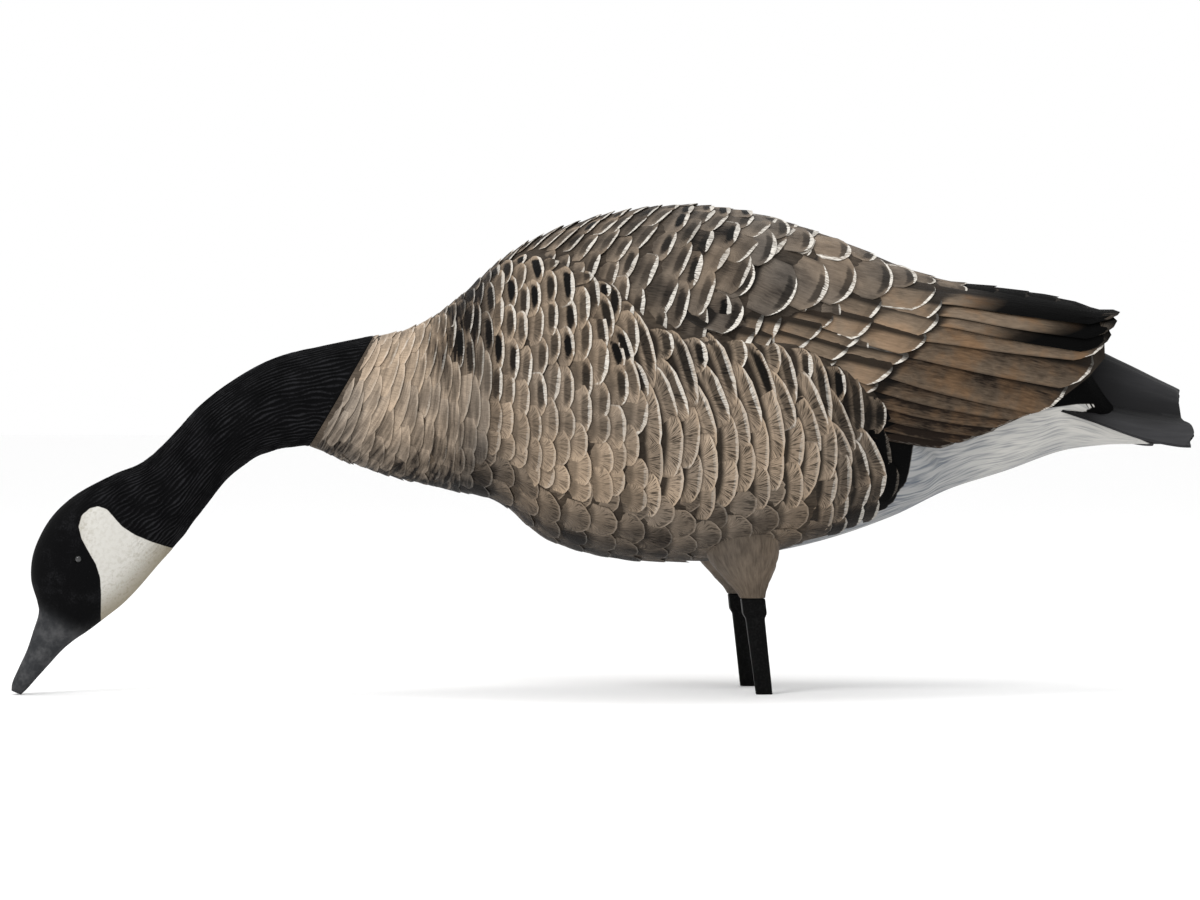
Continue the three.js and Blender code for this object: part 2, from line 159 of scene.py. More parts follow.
# Tail feathers: along, ridge up, crease up, edge up, share of the tail's spread.
TAIL = np.array([
    (361.0, 306.0, 268.0, 248.0, 0.8), (411.7, 297.7, 249.0, 231.5, 0.81),
    (449.9, 281.5, 240.0, 217.5, 0.88), (482.0, 266.0, 234.5, 210.5, 0.96),
    (500.0, 257.6, 232.0, 210.0, 1.0),
])
# Thigh from the belly down: along, up, how much is left of its growth over the collar.
THIGH = np.array([
    (112.0, 150.0, 1.0), (116.1, 114.2, 0.68), (119.6, 98.0, 0.34), (122.4, 88.0, 0.1),
    (124.0, 81.0, 0.0),
])
# Upper border of the flank feathers: station, share of the half turn from the top.
FLANK_LINE = np.array([
    (4.2, 0.1), (5.2, 0.25), (5.7, 0.3), (6.5, 0.41), (7.4, 0.435), (8.4, 0.43), (9.0, 0.46),
    (9.7, 0.53), (10.2, 0.62), (10.6, 0.72),
])
# The rump is smooth behind this line: share of the half turn, station.
RUMP_LINE = np.array([
    (0.6, 10.13), (0.64, 10.1), (0.72, 10.07), (0.83, 9.88), (0.86, 9.63), (0.89, 9.31),
    (0.92, 8.6), (1.0, 8.2),
])
# Where the flank feathers end below: station, share of the half turn.
FLANK_END = np.array([(3.4, 1.01), (3.6, 0.72), (8.7, 0.72), (9.3, 0.88)])


def smooth(low: float, high: float, value: np.ndarray | float) -> np.ndarray:
    """Soft step from 0 at low to 1 at high.

    Args:
        low: Value where the step starts.
        high: Value where the step ends.
        value: What is read.

    Returns:
        The step at each value.
    """
    t = np.clip((np.asarray(value, dtype=float) - low) / (high - low), 0, 1)
    return t * t * (3 - 2 * t)


def linear(red: float, green: float, blue: float) -> Colour:
    """Turns a colour as a paint chart gives it, 0 to 255, into light values.

    Args:
        red: Red as shown on a screen.
        green: Green as shown on a screen.
        blue: Blue as shown on a screen.

    Returns:
        Red, green, blue and alpha for a shader.
    """
    parts = []
    for shown in (red, green, blue):
        s = shown / 255
        parts.append(s / 12.92 if s <= 0.04045 else ((s + 0.055) / 1.055) ** 2.4)
    return (parts[0], parts[1], parts[2], 1.0)


def read_curve(rows: np.ndarray, station: np.ndarray) -> np.ndarray:
    """Smooth curve through all rows of a table.

    Args:
        rows: The table, one row a station.
        station: Fractional row numbers.

    Returns:
        The table's columns at each station.
    """
    last = len(rows) - 1
    s = np.clip(np.asarray(station, dtype=float), 0, last)
    i = np.minimum(np.floor(s).astype(int), last - 1)
    t = (s - i)[..., None]
    here = rows[i]
    following = rows[i + 1]
    enter = (following - rows[np.maximum(i - 1, 0)]) / 2
    leave = (rows[np.minimum(i + 2, last)] - here) / 2
    t2 = t * t
    t3 = t2 * t
    return (
        here * (2 * t3 - 3 * t2 + 1) + enter * (t3 - 2 * t2 + t)
        + following * (3 * t2 - 2 * t3) + leave * (t3 - t2)
    )


def section_point(row: np.ndarray, half_width: np.ndarray, angle: np.ndarray,
                  lift: np.ndarray) -> np.ndarray:
    """Points of oval sections that are drawn between a top and a bottom point.

    Args:
        row: Top along, top up, bottom along and bottom up, in thousandths of the length.
        half_width: Half width of the section in metres.
        angle: Angle round the section, 0 at the top, positive to the goose's right.
        lift: Height over the section in metres.

    Returns:
        Points in metres.
    """
    top = np.stack([row[..., 0], row[..., 1]], axis=-1) * PER_MILLE
    bottom = np.stack([row[..., 2], row[..., 3]], axis=-1) * PER_MILLE
    centre = (top + bottom) / 2
    half = (top - bottom) / 2
    height = np.linalg.norm(half, axis=-1)
    c = np.sign(np.cos(angle)) * np.abs(np.cos(angle)) ** FULLNESS
    s = np.sign(np.sin(angle)) * np.abs(np.sin(angle)) ** FULLNESS
    up_part = c / height
    side_part = s / half_width
    size = np.hypot(up_part, side_part)
    reach = c + (up_part / size) * lift / height
    middle = centre + half * reach[..., None]
    side = s * half_width + (side_part / size) * lift
    return np.stack([middle[..., 0], side, middle[..., 1]], axis=-1)


def side_view_distance(points: np.ndarray, outline: Sequence[tuple[float, float]]) -> np.ndarray:
    """Signed distance to a closed outline in the side view, positive inside.

    Args:
        points: Points in metres.
        outline: Corners of the outline, along and up, in metres.

    Returns:
        Distances in millimetres.
    """
    place = points[..., [0, 2]]
    best = np.full(place.shape[:-1], np.inf)
    inside = np.zeros(place.shape[:-1], dtype=bool)
    corners = np.array(outline)
    for a, b in zip(corners, np.roll(corners, -1, axis=0)):
        edge = b - a
        t = np.clip(((place - a) @ edge) / (edge @ edge), 0, 1)
        best = np.minimum(best, np.linalg.norm(place - a - t[..., None] * edge, axis=-1))
        crosses = (a[1] > place[..., 1]) != (b[1] > place[..., 1])
        rise = edge[1] if abs(edge[1]) > 1e-12 else 1e-12
        inside ^= crosses & (place[..., 0] < a[0] + edge[0] * (place[..., 1] - a[1]) / rise)
    return np.where(inside, best, -best) / MM


def photo_place(px: float, py: float) -> tuple[float, float]:
    """Place on the middle plane of a point of the photograph.

    Args:
        px: Pixels from the left of the 1200 x 900 image.
        py: Pixels from its top.

    Returns:
        Along and up in metres.
    """
    return (px - PHOTO_MIDDLE) * PHOTO_SCALE, (PHOTO_GROUND - py) * PHOTO_SCALE


def seen_place(px: float, py: float, out: float) -> tuple[float, float]:
    """Place of a point of the photograph that stands out from the middle plane.

    Args:
        px: Pixels from the left of the 1200 x 900 image.
        py: Pixels from its top.
        out: How far it stands out towards the camera, in metres.

    Returns:
        Along and up in thousandths of the length.
    """
    scale = PHOTO_SCALE * (1 - out / CAMERA_DISTANCE)
    turn = math.radians(CAMERA_AZIMUTH)
    along = ((px - PHOTO_MIDDLE) * scale + out * math.sin(turn)) / math.cos(turn)
    up = (PHOTO_GROUND - PHOTO_CENTRE) * PHOTO_SCALE + (PHOTO_CENTRE - py) * scale
    return along / PER_MILLE, up / PER_MILLE


# White under the tail, with the point that runs out over the tail's lower lobe.
WHITE_REAR = [photo_place(*corner) for corner in (
    (900, 400), (1028, 409), (1048, 407), (1072, 404), (1095, 404), (1074, 414), (1094, 422),
    (1133, 436), (1165, 447), (1165, 520), (900, 560),
)]
CHEEK = [photo_place(*corner) for corner in (
    (90, 507), (98, 505), (107, 508), (114, 516), (122, 525), (134, 533), (150, 540), (170, 547),
    (215, 555), (180, 625), (100, 690), (100, 620), (101, 592), (100, 575), (96, 562), (88, 548),
    (82, 537), (79, 525), (82, 514),
)]
# The head up to the throat's edge, near which the cheek gets darker and browner.
THROAT = [photo_place(*corner) for corner in (
    (60, 470), (200, 470), (186, 530), (172, 548), (150, 577), (128, 600), (100, 620), (60, 640),
)]


class Skin:
    """A surface that feathers are laid on, read at two running values and a lift."""

    def base(self, p: np.ndarray, q: np.ndarray, lift: np.ndarray) -> np.ndarray:
        """Points of the plain surface, as each kind of skin works them out."""
        raise NotImplementedError

    def at(self, p: np.ndarray, q: np.ndarray, lift: np.ndarray) -> np.ndarray:
        """Points of the surface with its large relief."""
        return self.base(p, q, lift)

    def shade(self, p: np.ndarray, q: np.ndarray) -> np.ndarray:
        """How much darker the paint is at a place."""
        return np.zeros(np.broadcast(p, q).shape)

    def slopes(self, p: np.ndarray, q: np.ndarray) -> tuple[np.ndarray, np.ndarray]:
        """How the surface runs along its two values.

        Args:
            p: First running value.
            q: Second running value.

        Returns:
            The change of place with p and with q.
        """
        step = 1e-3
        zero = np.zeros_like(p)
        along = (self.base(p + step, q, zero) - self.base(p - step, q, zero)) / (2 * step)
        across = (self.base(p, q + step, zero) - self.base(p, q - step, zero)) / (2 * step)
        return along, across


@dataclass(frozen=True)
class TorsoSkin(Skin):
    """The moulded body without its feather relief: station along, angle round.

    Places across are shares of the half turn from the back, places along are stations.
    """

    lip: float
    lip_start: float = 0.006
    lip_width: float = 0.02
    lip_fade_start: float = 0.03
    lip_fade: float = 0.22
    lip_front: tuple[float, float] = (4.2, 5.3)
    lip_rear: tuple[float, float] = (10.4, 10.7)
    pocket_width: float = 0.035
    breast_end: tuple[float, float] = (3.2, 4.2)
    breast_front: tuple[float, float] = (1.4, 2.4)
    belly_dark: float = 0.42
    breast_low_dark: float = 0.36
    breast_top_dark: float = 0.2
    breast_front_light: float = 0.24

    def base(self, p: np.ndarray, q: np.ndarray, lift: np.ndarray) -> np.ndarray:
        """Points of the plain body."""
        row = read_curve(TORSO, p)
        return section_point(row, row[..., 4] * BODY_HALF, q, lift)

    def at(self, p: np.ndarray, q: np.ndarray, lift: np.ndarray) -> np.ndarray:
        """Points of the body with the flank's lip and the pocket above it.

        Args:
            p: Station along the body.
            q: Angle from the middle of the back.
            lift: Height over the body.

        Returns:
            Points in metres.
        """
        past = self.half_turn(q) - self.flank_border(p)
        inside = smooth(0, 1, (past + self.lip_start) / self.lip_width)
        fade_down = 1 - smooth(0, 1, (past - self.lip_fade_start) / self.lip_fade)
        fade_along = smooth(*self.lip_front, p) * (1 - smooth(*self.lip_rear, p))
        pocket = np.exp(-(np.minimum(past, 0) / self.pocket_width) ** 2) * (1 - inside)
        relief = self.lip * inside * fade_down - POCKET_DEPTH * pocket
        return self.base(p, q, lift + relief * fade_along)

    def shade(self, p: np.ndarray, q: np.ndarray) -> np.ndarray:
        """How much darker the paint gets towards the belly, partly the belly's own darker paint and
        partly painted shade of the underside.

        Args:
            p: Station along the body.
            q: Angle from the middle of the back.

        Returns:
            What is taken from the tone.
        """
        turn = self.half_turn(q)
        # Darker towards the belly: partly the belly's own paint, partly painted shade of the underside.
        low = smooth(0.66, 0.95, turn)
        high = 1 - smooth(0.26, 0.46, turn)
        rear = smooth(*self.breast_front, p)
        breast = self.breast_low_dark * smooth(0.52, 0.74, turn) - 0.1 * low
        breast = breast + self.breast_top_dark * high * rear - self.breast_front_light * (1 - rear)
        return self.belly_dark * low + (1 - smooth(*self.breast_end, p)) * breast

    @staticmethod
    def half_turn(q: np.ndarray) -> np.ndarray:
        """Share of the half turn from the back of an angle."""
        return np.abs(np.arctan2(np.sin(q), np.cos(q))) / math.pi

    @staticmethod
    def flank_border(p: np.ndarray) -> np.ndarray:
        """Where the flank feathers begin, as a share of the half turn."""
        return np.interp(p, FLANK_LINE[:, 0], FLANK_LINE[:, 1])

    def lean_back(self, station: np.ndarray, turn: np.ndarray) -> np.ndarray:
        """Where a feather row of the back passes, leaning to the tail at the top.

        Args:
            station: Station of the row at the flank's border.
            turn: Share of the half turn from the back.

        Returns:
            Station of the row at that turn.
        """
        border = self.flank_border(station)
        on_back = 1 - smooth(0, 1, turn / (border + 0.05))
        return station + BACK_SLANT * on_back * smooth(2.5, 5, station)

    def lean_forward(self, station: np.ndarray, turn: np.ndarray) -> np.ndarray:
        """Where a feather row of the flank passes, leaning to the head at its upper end.

        Args:
            station: Station of the row low on the flank.
            turn: Share of the half turn from the back.

        Returns:
            Station of the row at that turn.
        """
        border = self.flank_border(station)
        near = 1 - smooth(0, 1, (turn - border) / 0.17)
        room = smooth(5.4, 6.6, station) * (1 - smooth(9.6, 10.4, station))
        return station - FLANK_SLANT * near * room


@dataclass(frozen=True)
class WingSkin(Skin):
    """The folded wing: place along the body, angle from its top."""

    side: int
    swell: float = 0.4
    rough_out: float = 0.1

    def base(self, p: np.ndarray, q: np.ndarray, lift: np.ndarray) -> np.ndarray:
        """Points of the wing.

        Args:
            p: Place along, in thousandths of the length.
            q: Angle from the top of the wing.
            lift: Height over the wing.

        Returns:
            Points in metres.
        """
        top, centre, width = (np.interp(p, WING[:, 0], WING[:, column]) for column in (1, 2, 3))
        width = width * BODY_HALF
        height = (top - centre) * PER_MILLE
        loose = smooth(WING_START, WING_LOOSE, p)
        full = FULLNESS + (1 - FULLNESS) * loose
        c = np.sign(np.cos(q)) * np.abs(np.cos(q)) ** full
        s = np.sign(np.sin(q)) * np.abs(np.sin(q)) ** full
        size = np.hypot(s / width, c / height)
        out = lift + WING_RISE * smooth(0, self.swell, 1 - c) * loose
        side = self.side * (s * width + (s / width / size) * out)
        up = centre * PER_MILLE + c * height + (c / height / size) * out
        return np.stack([p * PER_MILLE + 0 * q, side, up], axis=-1)

    @staticmethod
    def angle_at(along: np.ndarray, up: np.ndarray) -> np.ndarray:
        """Angle from the wing's top of a side-view place.

        Args:
            along: Place along, in thousandths of the length.
            up: Height, in thousandths of the length.

        Returns:
            Angles.
        """
        top = np.interp(along, WING[:, 0], WING[:, 1])
        centre = np.interp(along, WING[:, 0], WING[:, 2])
        full = FULLNESS + (1 - FULLNESS) * smooth(WING_START, WING_LOOSE, along)
        c = np.clip((up - centre) / (top - centre), -1, 1)
        return np.arccos(np.sign(c) * np.abs(c) ** (1 / full))

    def seen_at(self, px: float, py: float) -> tuple[float, float]:
        """Place on the wing of a point of the photograph.

        Args:
            px: Pixels from the left of the 1200 x 900 image.
            py: Pixels from its top.

        Returns:
            Along and up in thousandths of the length.
        """
        # A rough first guess, then a few times the wing's own width at the place found.
        out = self.rough_out
        for _ in range(4):
            along, up = seen_place(px, py, out)
            q = self.angle_at(np.array(along), np.array(up))
            out = abs(float(self.base(np.array(along), q, np.array(0.0))[1]))
        return along, up


class Tract(Enum):
    """Feather groups of the body."""

    BREAST = "breast"
    SIDE_BREAST = "side breast"
    FLANK = "flank"
    BELLY = "belly"
    MANTLE = "mantle"
    SCAPULAR = "scapular"


@dataclass(frozen=True)
class Plumage:
    """Size and paint of one feather group.

    Widths are in millimetres, the rest are shares from 0 to 1.
    """

    width: float
    fringe: float
    whiteness: float
    patch: float
    tone: float
    warmth: float
    barbs: float


PLUMAGE = {
    Tract.BREAST: Plumage(30, 1.2, 0.5, 0.2, 0.5, 0.6, 0.3),
    Tract.SIDE_BREAST: Plumage(25, 2.4, 0.9, 0.9, 0.55, 0.74, 0.7),
    Tract.FLANK: Plumage(38, 2.6, 0.95, 0.75, 0.61, 0.7, 1.0),
    Tract.BELLY: Plumage(27, 1.0, 0.12, 0.0, 0.5, 0.6, 0.9),
    Tract.MANTLE: Plumage(23, 2.5, 1.0, 0.75, 0.37, 0.6, 0.5),
    Tract.SCAPULAR: Plumage(28, 3.0, 1.0, 0.8, 0.25, 0.55, 0.4),
}


@dataclass(frozen=True)
class Feather:
    """One feather before it becomes mesh.

    place: the skin's two values at the tip
    size: length, width and shown length in metres
    ink: fringe width in millimetres, fringe whiteness, dark patch
    ground: tone, warmth, barb strength
    seed: its own number from 0 to 1
    row_slope: how its row runs over the skin
    turn: turn out of the row, in radians
    rise: share of the form's rise at the tip
    black: share of the length from which it is black
    grain: strength of its painted seam shadows, of strands along its row, and of the pale rim
    """

    place: tuple[float, float]
    size: Triple
    ink: Triple
    ground: Triple
    seed: float
    row_slope: float = 0.0
    turn: float = 0.0
    rise: float = 1.0
    black: float = NEVER_BLACK
    grain: Triple = (1.0, 0.0, 0.0)


class Feathers(list[Feather]):
    """The feathers of one skin."""

    def column(self, name: str) -> np.ndarray:
        """One value of every feather."""
        return np.array([getattr(feather, name) for feather in self])


@dataclass
class MeshParts:
    """Vertices, faces and painted values of the shells that make one piece."""

    points: list[np.ndarray] = field(default_factory=list)
    faces: list[np.ndarray] = field(default_factory=list)
    counts: list[np.ndarray] = field(default_factory=list)
    layers: dict[str, list[np.ndarray]] = field(default_factory=dict)
    finishes: list[np.ndarray] = field(default_factory=list)
    total: int = 0

    def add(self, points: np.ndarray, faces: Sequence[Sequence[int]] | np.ndarray,
            layers: dict[str, np.ndarray], finish: int = 0) -> None:
        """Adds one shell.

        Args:
            points: Its vertices.
            faces: Its faces, as lists of vertex numbers.
            layers: Named values, three a vertex.
            finish: Number of its finish on the piece.
        """
        self.finishes.append(np.full(len(faces), finish))
        sizes = np.array([len(face) for face in faces])
        flat = np.concatenate([np.asarray(face) for face in faces]) + self.total
        self.points.append(points)
        self.faces.append(flat)
        self.counts.append(sizes)
        for name in PAINT_LAYERS:
            given = layers.get(name)
            values = np.tile(PLAIN[name], (len(points), 1)) if given is None else given
            self.layers.setdefault(name, []).append(values)
        self.total += len(points)

    def to_object(self, name: str) -> bpy.types.Object:
        """Makes the piece's mesh object.

        Args:
            name: Name of the piece.

        Returns:
            The object, linked to the scene.
        """
        mesh = bpy.data.meshes.new(name)
        points = np.concatenate(self.points)
        loops = np.concatenate(self.faces)
        counts = np.concatenate(self.counts)
        starts = np.concatenate([[0], np.cumsum(counts)[:-1]])
        mesh.vertices.add(len(points))
        mesh.vertices.foreach_set("co", points.astype(np.float32).ravel())
        mesh.loops.add(len(loops))
        mesh.loops.foreach_set("vertex_index", loops.astype(np.int32))
        mesh.polygons.add(len(counts))
        mesh.polygons.foreach_set("loop_start", starts.astype(np.int32))
        mesh.polygons.foreach_set("material_index", np.concatenate(self.finishes).astype(np.int32))
        mesh.update(calc_edges=True)
        for layer, values in self.layers.items():
            attribute = mesh.attributes.new(layer, "FLOAT_VECTOR", "POINT")
            attribute.data.foreach_set("vector", np.concatenate(values).astype(np.float32).ravel())
        mesh.validate()
        thing = bpy.data.objects.new(name, mesh)
        bpy.context.collection.objects.link(thing)
        return thing


# Painted values a vertex, read by the finishes.
# feather: millimetres from the tip, millimetres from the shaft, seed
# blade: millimetres from the edge, millimetres out from under the row before, underside
# ink: fringe width in millimetres, fringe whiteness, dark patch
# ground: tone, warmth, barb strength
# grain: strength of painted seam shadows, strength of strands along the row, strength of the pale rim
# mark: white rump from one half up, black, share of the half width
# On the head, mark holds millimetres inside the cheek patch, the bill and millimetres inside the
# throat's edge, and feather holds the ridge. On the tail, ground holds how lit it is.
PAINT_LAYERS = ("feather", "blade", "ink", "ground", "grain", "mark")
PLAIN = {
    "feather": (FAR, 0.0, 0.3), "blade": (FAR, FAR, 0.0), "ink": (0.0, 0.0, 0.0),
    "ground": (0.25, 0.6, 0.2), "grain": (1.0, 0.0, 0.0), "mark": (0.0, 0.0, 0.0),
}
# The same at the point under a feather where its underside meets.
KEEL_PAINT = {"feather": (6.0, 0.0, 0.5), "blade": (8.0, 8.0, 1.0), "mark": (0.0, 0.0, 0.0)}


def surface_steps(along: np.ndarray, across: np.ndarray,
                  direction: np.ndarray) -> tuple[np.ndarray, np.ndarray]:
    """Change of a skin's two values for one metre in a direction on it.

    Args:
        along: How the skin's place changes with its first value.
        across: How it changes with its second value.
        direction: Directions on the skin.

    Returns:
        The change of each value, shaped to go with a grid of each feather.
    """
    g11 = np.sum(along * along, axis=1)
    g12 = np.sum(along * across, axis=1)
    g22 = np.sum(across * across, axis=1)
    det = g11 * g22 - g12 * g12
    a = np.sum(along * direction, axis=1)
    b = np.sum(across * direction, axis=1)
    first = (g22 * a - g12 * b) / det
    second = (g11 * b - g12 * a) / det
    return first[:, None, None], second[:, None, None]


@dataclass(frozen=True)
class BladeForm:
    """Form of one moulded feather.

    The grid runs from the root to the tip and from edge to edge.
    """

    along: tuple[float, ...] = (0.0, 0.35, 0.55, 0.7, 0.83, 0.93, 1.0)
    across: tuple[float, ...] = (-1.0, -0.8, -0.42, 0.0, 0.42, 0.8, 1.0)
    corner: float = 0.26
    roundness: float = 2.6
    root_width: float = 0.8
    root_sink: float = 1.3 * MM
    tip_rise: float = 1.8 * MM
    ramp: float = 1.0
    camber: float = 0.9 * MM
    tilt: float = 0.0
    bow: float = 0.0
    slant: float = 0.0
    lapped: float = -9.0
    keel: float = 3.0 * MM
    keel_place: float = 0.72

    def faces(self) -> list[list[int]]:
        """Faces of one blade: the top grid and a fan to the keel point.

        Returns:
            Lists of vertex numbers, counted from the blade's first vertex.
        """
        rows = len(self.along)
        columns = len(self.across)
        made = []
        for i in range(rows - 1):
            for j in range(columns - 1):
                a = i * columns + j
                made.append([a, a + columns, a + columns + 1, a + 1])
        rim = list(range(columns))
        rim += [i * columns + columns - 1 for i in range(1, rows)]
        rim += [(rows - 1) * columns + j for j in range(columns - 2, -1, -1)]
        rim += [i * columns for i in range(rows - 2, 0, -1)]
        keel = rows * columns
        for a, b in zip(rim, rim[1:] + rim[:1]):
            made.append([keel, a, b])
        return made

    def offsets(self, feathers: Feathers) -> tuple[np.ndarray, ...]:
        """Places on each blade relative to its tip.

        Args:
            feathers: The feathers.

        Returns:
            Forward, sideways and lift in metres, then half width, end and grid shares.
        """
        size = feathers.column("size")
        length = size[:, 0, None, None]
        width = size[:, 1, None, None]
        rise = feathers.column("rise")[:, None, None]
        u = np.array(self.along)[None, :, None]
        v = np.array(self.across)[None, None, :]
        end = 1 - self.corner * np.abs(v) ** self.roundness - self.slant * (1 + v) / 2
        end = end / end.max()
        x = length * (u * end - 1)
        half = width / 2 * (self.root_width + (1 - self.root_width) * smooth(0, 0.5, u))
        ramped = np.clip(u / self.ramp, 0, 1)
        lift = -self.root_sink + (self.root_sink + self.tip_rise * rise) * ramped
        lift = lift - self.camber * v ** 2 + self.tilt * v * ramped
        aside = half * v + self.bow * 4 * u * (1 - u)
        return x, aside + 0 * x, lift, half + 0 * u, end + 0 * u, u + 0 * x, v + 0 * x

    def layers(self, feathers: Feathers, offsets: tuple[np.ndarray, ...]) -> dict[str, np.ndarray]:
        """Painted values of every vertex.

        Args:
            feathers: The feathers.
            offsets: What offsets() gave.

        Returns:
            Values by layer, one row a vertex.
        """
        x, y, _, half, end, u, v = offsets
        count = len(feathers)
        cells = len(self.along) * len(self.across)
        size = feathers.column("size")
        length = size[:, 0, None, None]
        shown = size[:, 2, None, None]
        seed = feathers.column("seed")[:, None, None] + 0 * x
        edge = np.minimum(length * (1 - u) * end, half * (1 - np.abs(v)))
        out = np.minimum(shown - length * (1 - u), (v - self.lapped) * half)
        black = feathers.column("black")[:, None, None]
        dark = smooth(0, 1, (u - black + 0.15) / 0.3)
        made = {
            "feather": (length * (1 - u) / MM, y / MM, seed),
            "blade": (edge / MM, out / MM, 0 * x),
            "mark": (0 * x, dark, v),
        }
        result = {}
        for name, parts in made.items():
            grid = np.stack(np.broadcast_arrays(*parts), axis=-1).reshape(count, cells, 3)
            low = np.broadcast_to(np.array(KEEL_PAINT[name]), (count, 1, 3))
            result[name] = np.concatenate([grid, low], axis=1).reshape(-1, 3)
        for name in ("ink", "ground", "grain"):
            result[name] = np.repeat(feathers.column(name), cells + 1, axis=0)
        return result

    def lay(self, skin: Skin, feathers: Feathers, parts: "MeshParts") -> None:
        """Lays feathers on a skin, each along its own direction there.

        Args:
            skin: The surface under the feathers.
            feathers: The feathers.
            parts: The piece that takes them.
        """
        p0, q0 = feathers.column("place").T
        along, across = skin.slopes(p0, q0)
        row = across + along * feathers.column("row_slope")[:, None]
        axis = np.cross(row, np.cross(along, across))
        axis *= np.sign(np.sum(axis * along, axis=1))[:, None]
        axis /= np.linalg.norm(axis, axis=1)[:, None]
        side = row / np.linalg.norm(row, axis=1)[:, None]
        turned = feathers.column("turn")[:, None]
        forward = axis * np.cos(turned) + side * np.sin(turned)
        sideways = side * np.cos(turned) - axis * np.sin(turned)
        fp, fq = surface_steps(along, across, forward)
        sp, sq = surface_steps(along, across, sideways)
        offsets = self.offsets(feathers)
        x, y, lift = offsets[:3]
        p = p0[:, None, None] + x * fp + y * sp
        q = q0[:, None, None] + x * fq + y * sq
        back = -(1 - self.keel_place) * feathers.column("size")[:, 0]
        keel_p = p0 + back * fp[:, 0, 0]
        keel_q = q0 + back * fq[:, 0, 0]
        self.finish(skin, feathers, parts, offsets, (p, q, lift), (keel_p, keel_q))

    def lay_in_view(self, skin: WingSkin, feathers: Feathers, parts: "MeshParts") -> None:
        """Lays wing feathers by their places in the side view.

        Here a feather's place is along and up, and its turn is its slope in that view.

        Args:
            skin: The wing.
            feathers: The feathers.
            parts: The piece that takes them.
        """
        offsets = self.offsets(feathers)
        x, y, lift = offsets[:3]
        place = feathers.column("place")
        slope = feathers.column("turn")
        forward_a = np.cos(slope)[:, None, None]
        forward_u = -np.sin(slope)[:, None, None]
        along = place[:, 0, None, None] + (x * forward_a + y * forward_u) / PER_MILLE
        up = place[:, 1, None, None] + (x * forward_u - y * forward_a) / PER_MILLE
        back = -(1 - self.keel_place) * feathers.column("size")[:, 0] / PER_MILLE
        keel_a = place[:, 0] + back * np.cos(slope)
        keel_u = place[:, 1] - back * np.sin(slope)
        at = (along, skin.angle_at(along, up), lift)
        self.finish(skin, feathers, parts, offsets, at, (keel_a, skin.angle_at(keel_a, keel_u)))

    def finish(self, skin: Skin, feathers: Feathers, parts: "MeshParts",
               offsets: tuple[np.ndarray, ...], at: tuple[np.ndarray, ...],
               keel: tuple[np.ndarray, np.ndarray]) -> None:
        """Makes the blades' shells once their places on the skin are known.

        Args:
            skin: The surface under the feathers.
            feathers: The feathers.
            parts: The piece that takes them.
            offsets: What offsets() gave.
            at: The skin's two values and the lift of every grid point.
            keel: The skin's two values of each keel point.
        """
        count = len(feathers)
        cells = len(self.along) * len(self.across)
        grid = skin.at(*at).reshape(count, cells, 3)
        low = skin.at(keel[0], keel[1], np.full(count, -self.keel))
        points = np.concatenate([grid, low[:, None, :]], axis=1)
        one = self.faces()
        middle = one[len(one) // 4][:3]
        a, b, c = (points[0, k] for k in middle)
        above = skin.at(at[0], at[1], at[2] + MM).reshape(count, cells, 3)[0, middle[0]]
        if float(np.cross(b - a, c - a) @ (above - a)) < 0:
            one = [face[::-1] for face in one]
        faces = [[n + k * (cells + 1) for n in face] for k in range(count) for face in one]
        layers = self.layers(feathers, offsets)
        darker = np.zeros((count, cells + 1, 3))
        darker[:, :cells, 0] = skin.shade(at[0], at[1]).reshape(count, cells)
        layers["ground"] = layers["ground"] - darker.reshape(-1, 3)
        parts.add(points.reshape(-1, 3), faces, layers)


def closed_loft(rings: np.ndarray) -> tuple[np.ndarray, list[list[int]]]:
    """Closed skin over a row of rings.

    Args:
        rings: Points by ring and place on the ring.

    Returns:
        The vertices and the faces, which look outward.
    """
    count, around = rings.shape[:2]
    faces = []
    for r in range(count - 1):
        for k in range(around):
            a = r * around + k
            b = r * around + (k + 1) % around
            faces.append([a, b, b + around, a + around])
    points = np.concatenate([rings.reshape(-1, 3), rings[0].mean(0)[None], rings[-1].mean(0)[None]])
    first = count * around
    for k in range(around):
        a, b = k, (k + 1) % around
        faces.append([first, b, a])
        base = (count - 1) * around
        faces.append([first + 1, base + a, base + b])
    volume = 0.0
    for face in faces:
        for i in range(1, len(face) - 1):
            a, b, c = points[face[0]], points[face[i]], points[face[i + 1]]
            volume += float(a @ np.cross(b, c))
    if volume < 0:
        faces = [face[::-1] for face in faces]
    return points, faces


def smooth_faces(piece: bpy.types.Object, angle: float) -> None:
    """Smooths a piece, apart from its sharp edges.

    Args:
        piece: The piece.
        angle: Angle in degrees from which an edge is sharp.
    """
    piece.data.shade_smooth()
    piece.data.set_sharp_from_angle(angle=math.radians(angle))


class Value:
    """A number or colour that varies over a surface, with the usual arithmetic."""

    def __init__(self, shader: "Shader", socket: bpy.types.NodeSocket) -> None:
        """Keeps the socket that gives the value, and the shader it belongs to."""
        self.shader = shader
        self.socket = socket

    def __add__(self, other: "Term") -> "Value":
        """The sum."""
        return self.shader.math("ADD", self, other)

    def __radd__(self, other: float) -> "Value":
        """The sum with a plain number before it."""
        return self.shader.math("ADD", other, self)

    def __sub__(self, other: "Term") -> "Value":
        """The difference."""
        return self.shader.math("SUBTRACT", self, other)

    def __rsub__(self, other: float) -> "Value":
        """What is left of a plain number."""
        return self.shader.math("SUBTRACT", other, self)

    def __mul__(self, other: "Term") -> "Value":
        """The product."""
        return self.shader.math("MULTIPLY", self, other)

    def __truediv__(self, other: "Term") -> "Value":
        """The quotient."""
        return self.shader.math("DIVIDE", self, other)

    def __abs__(self) -> "Value":
        """The value without its sign."""
        return self.shader.math("ABSOLUTE", self)


Term = Value | float | tuple[float, ...]


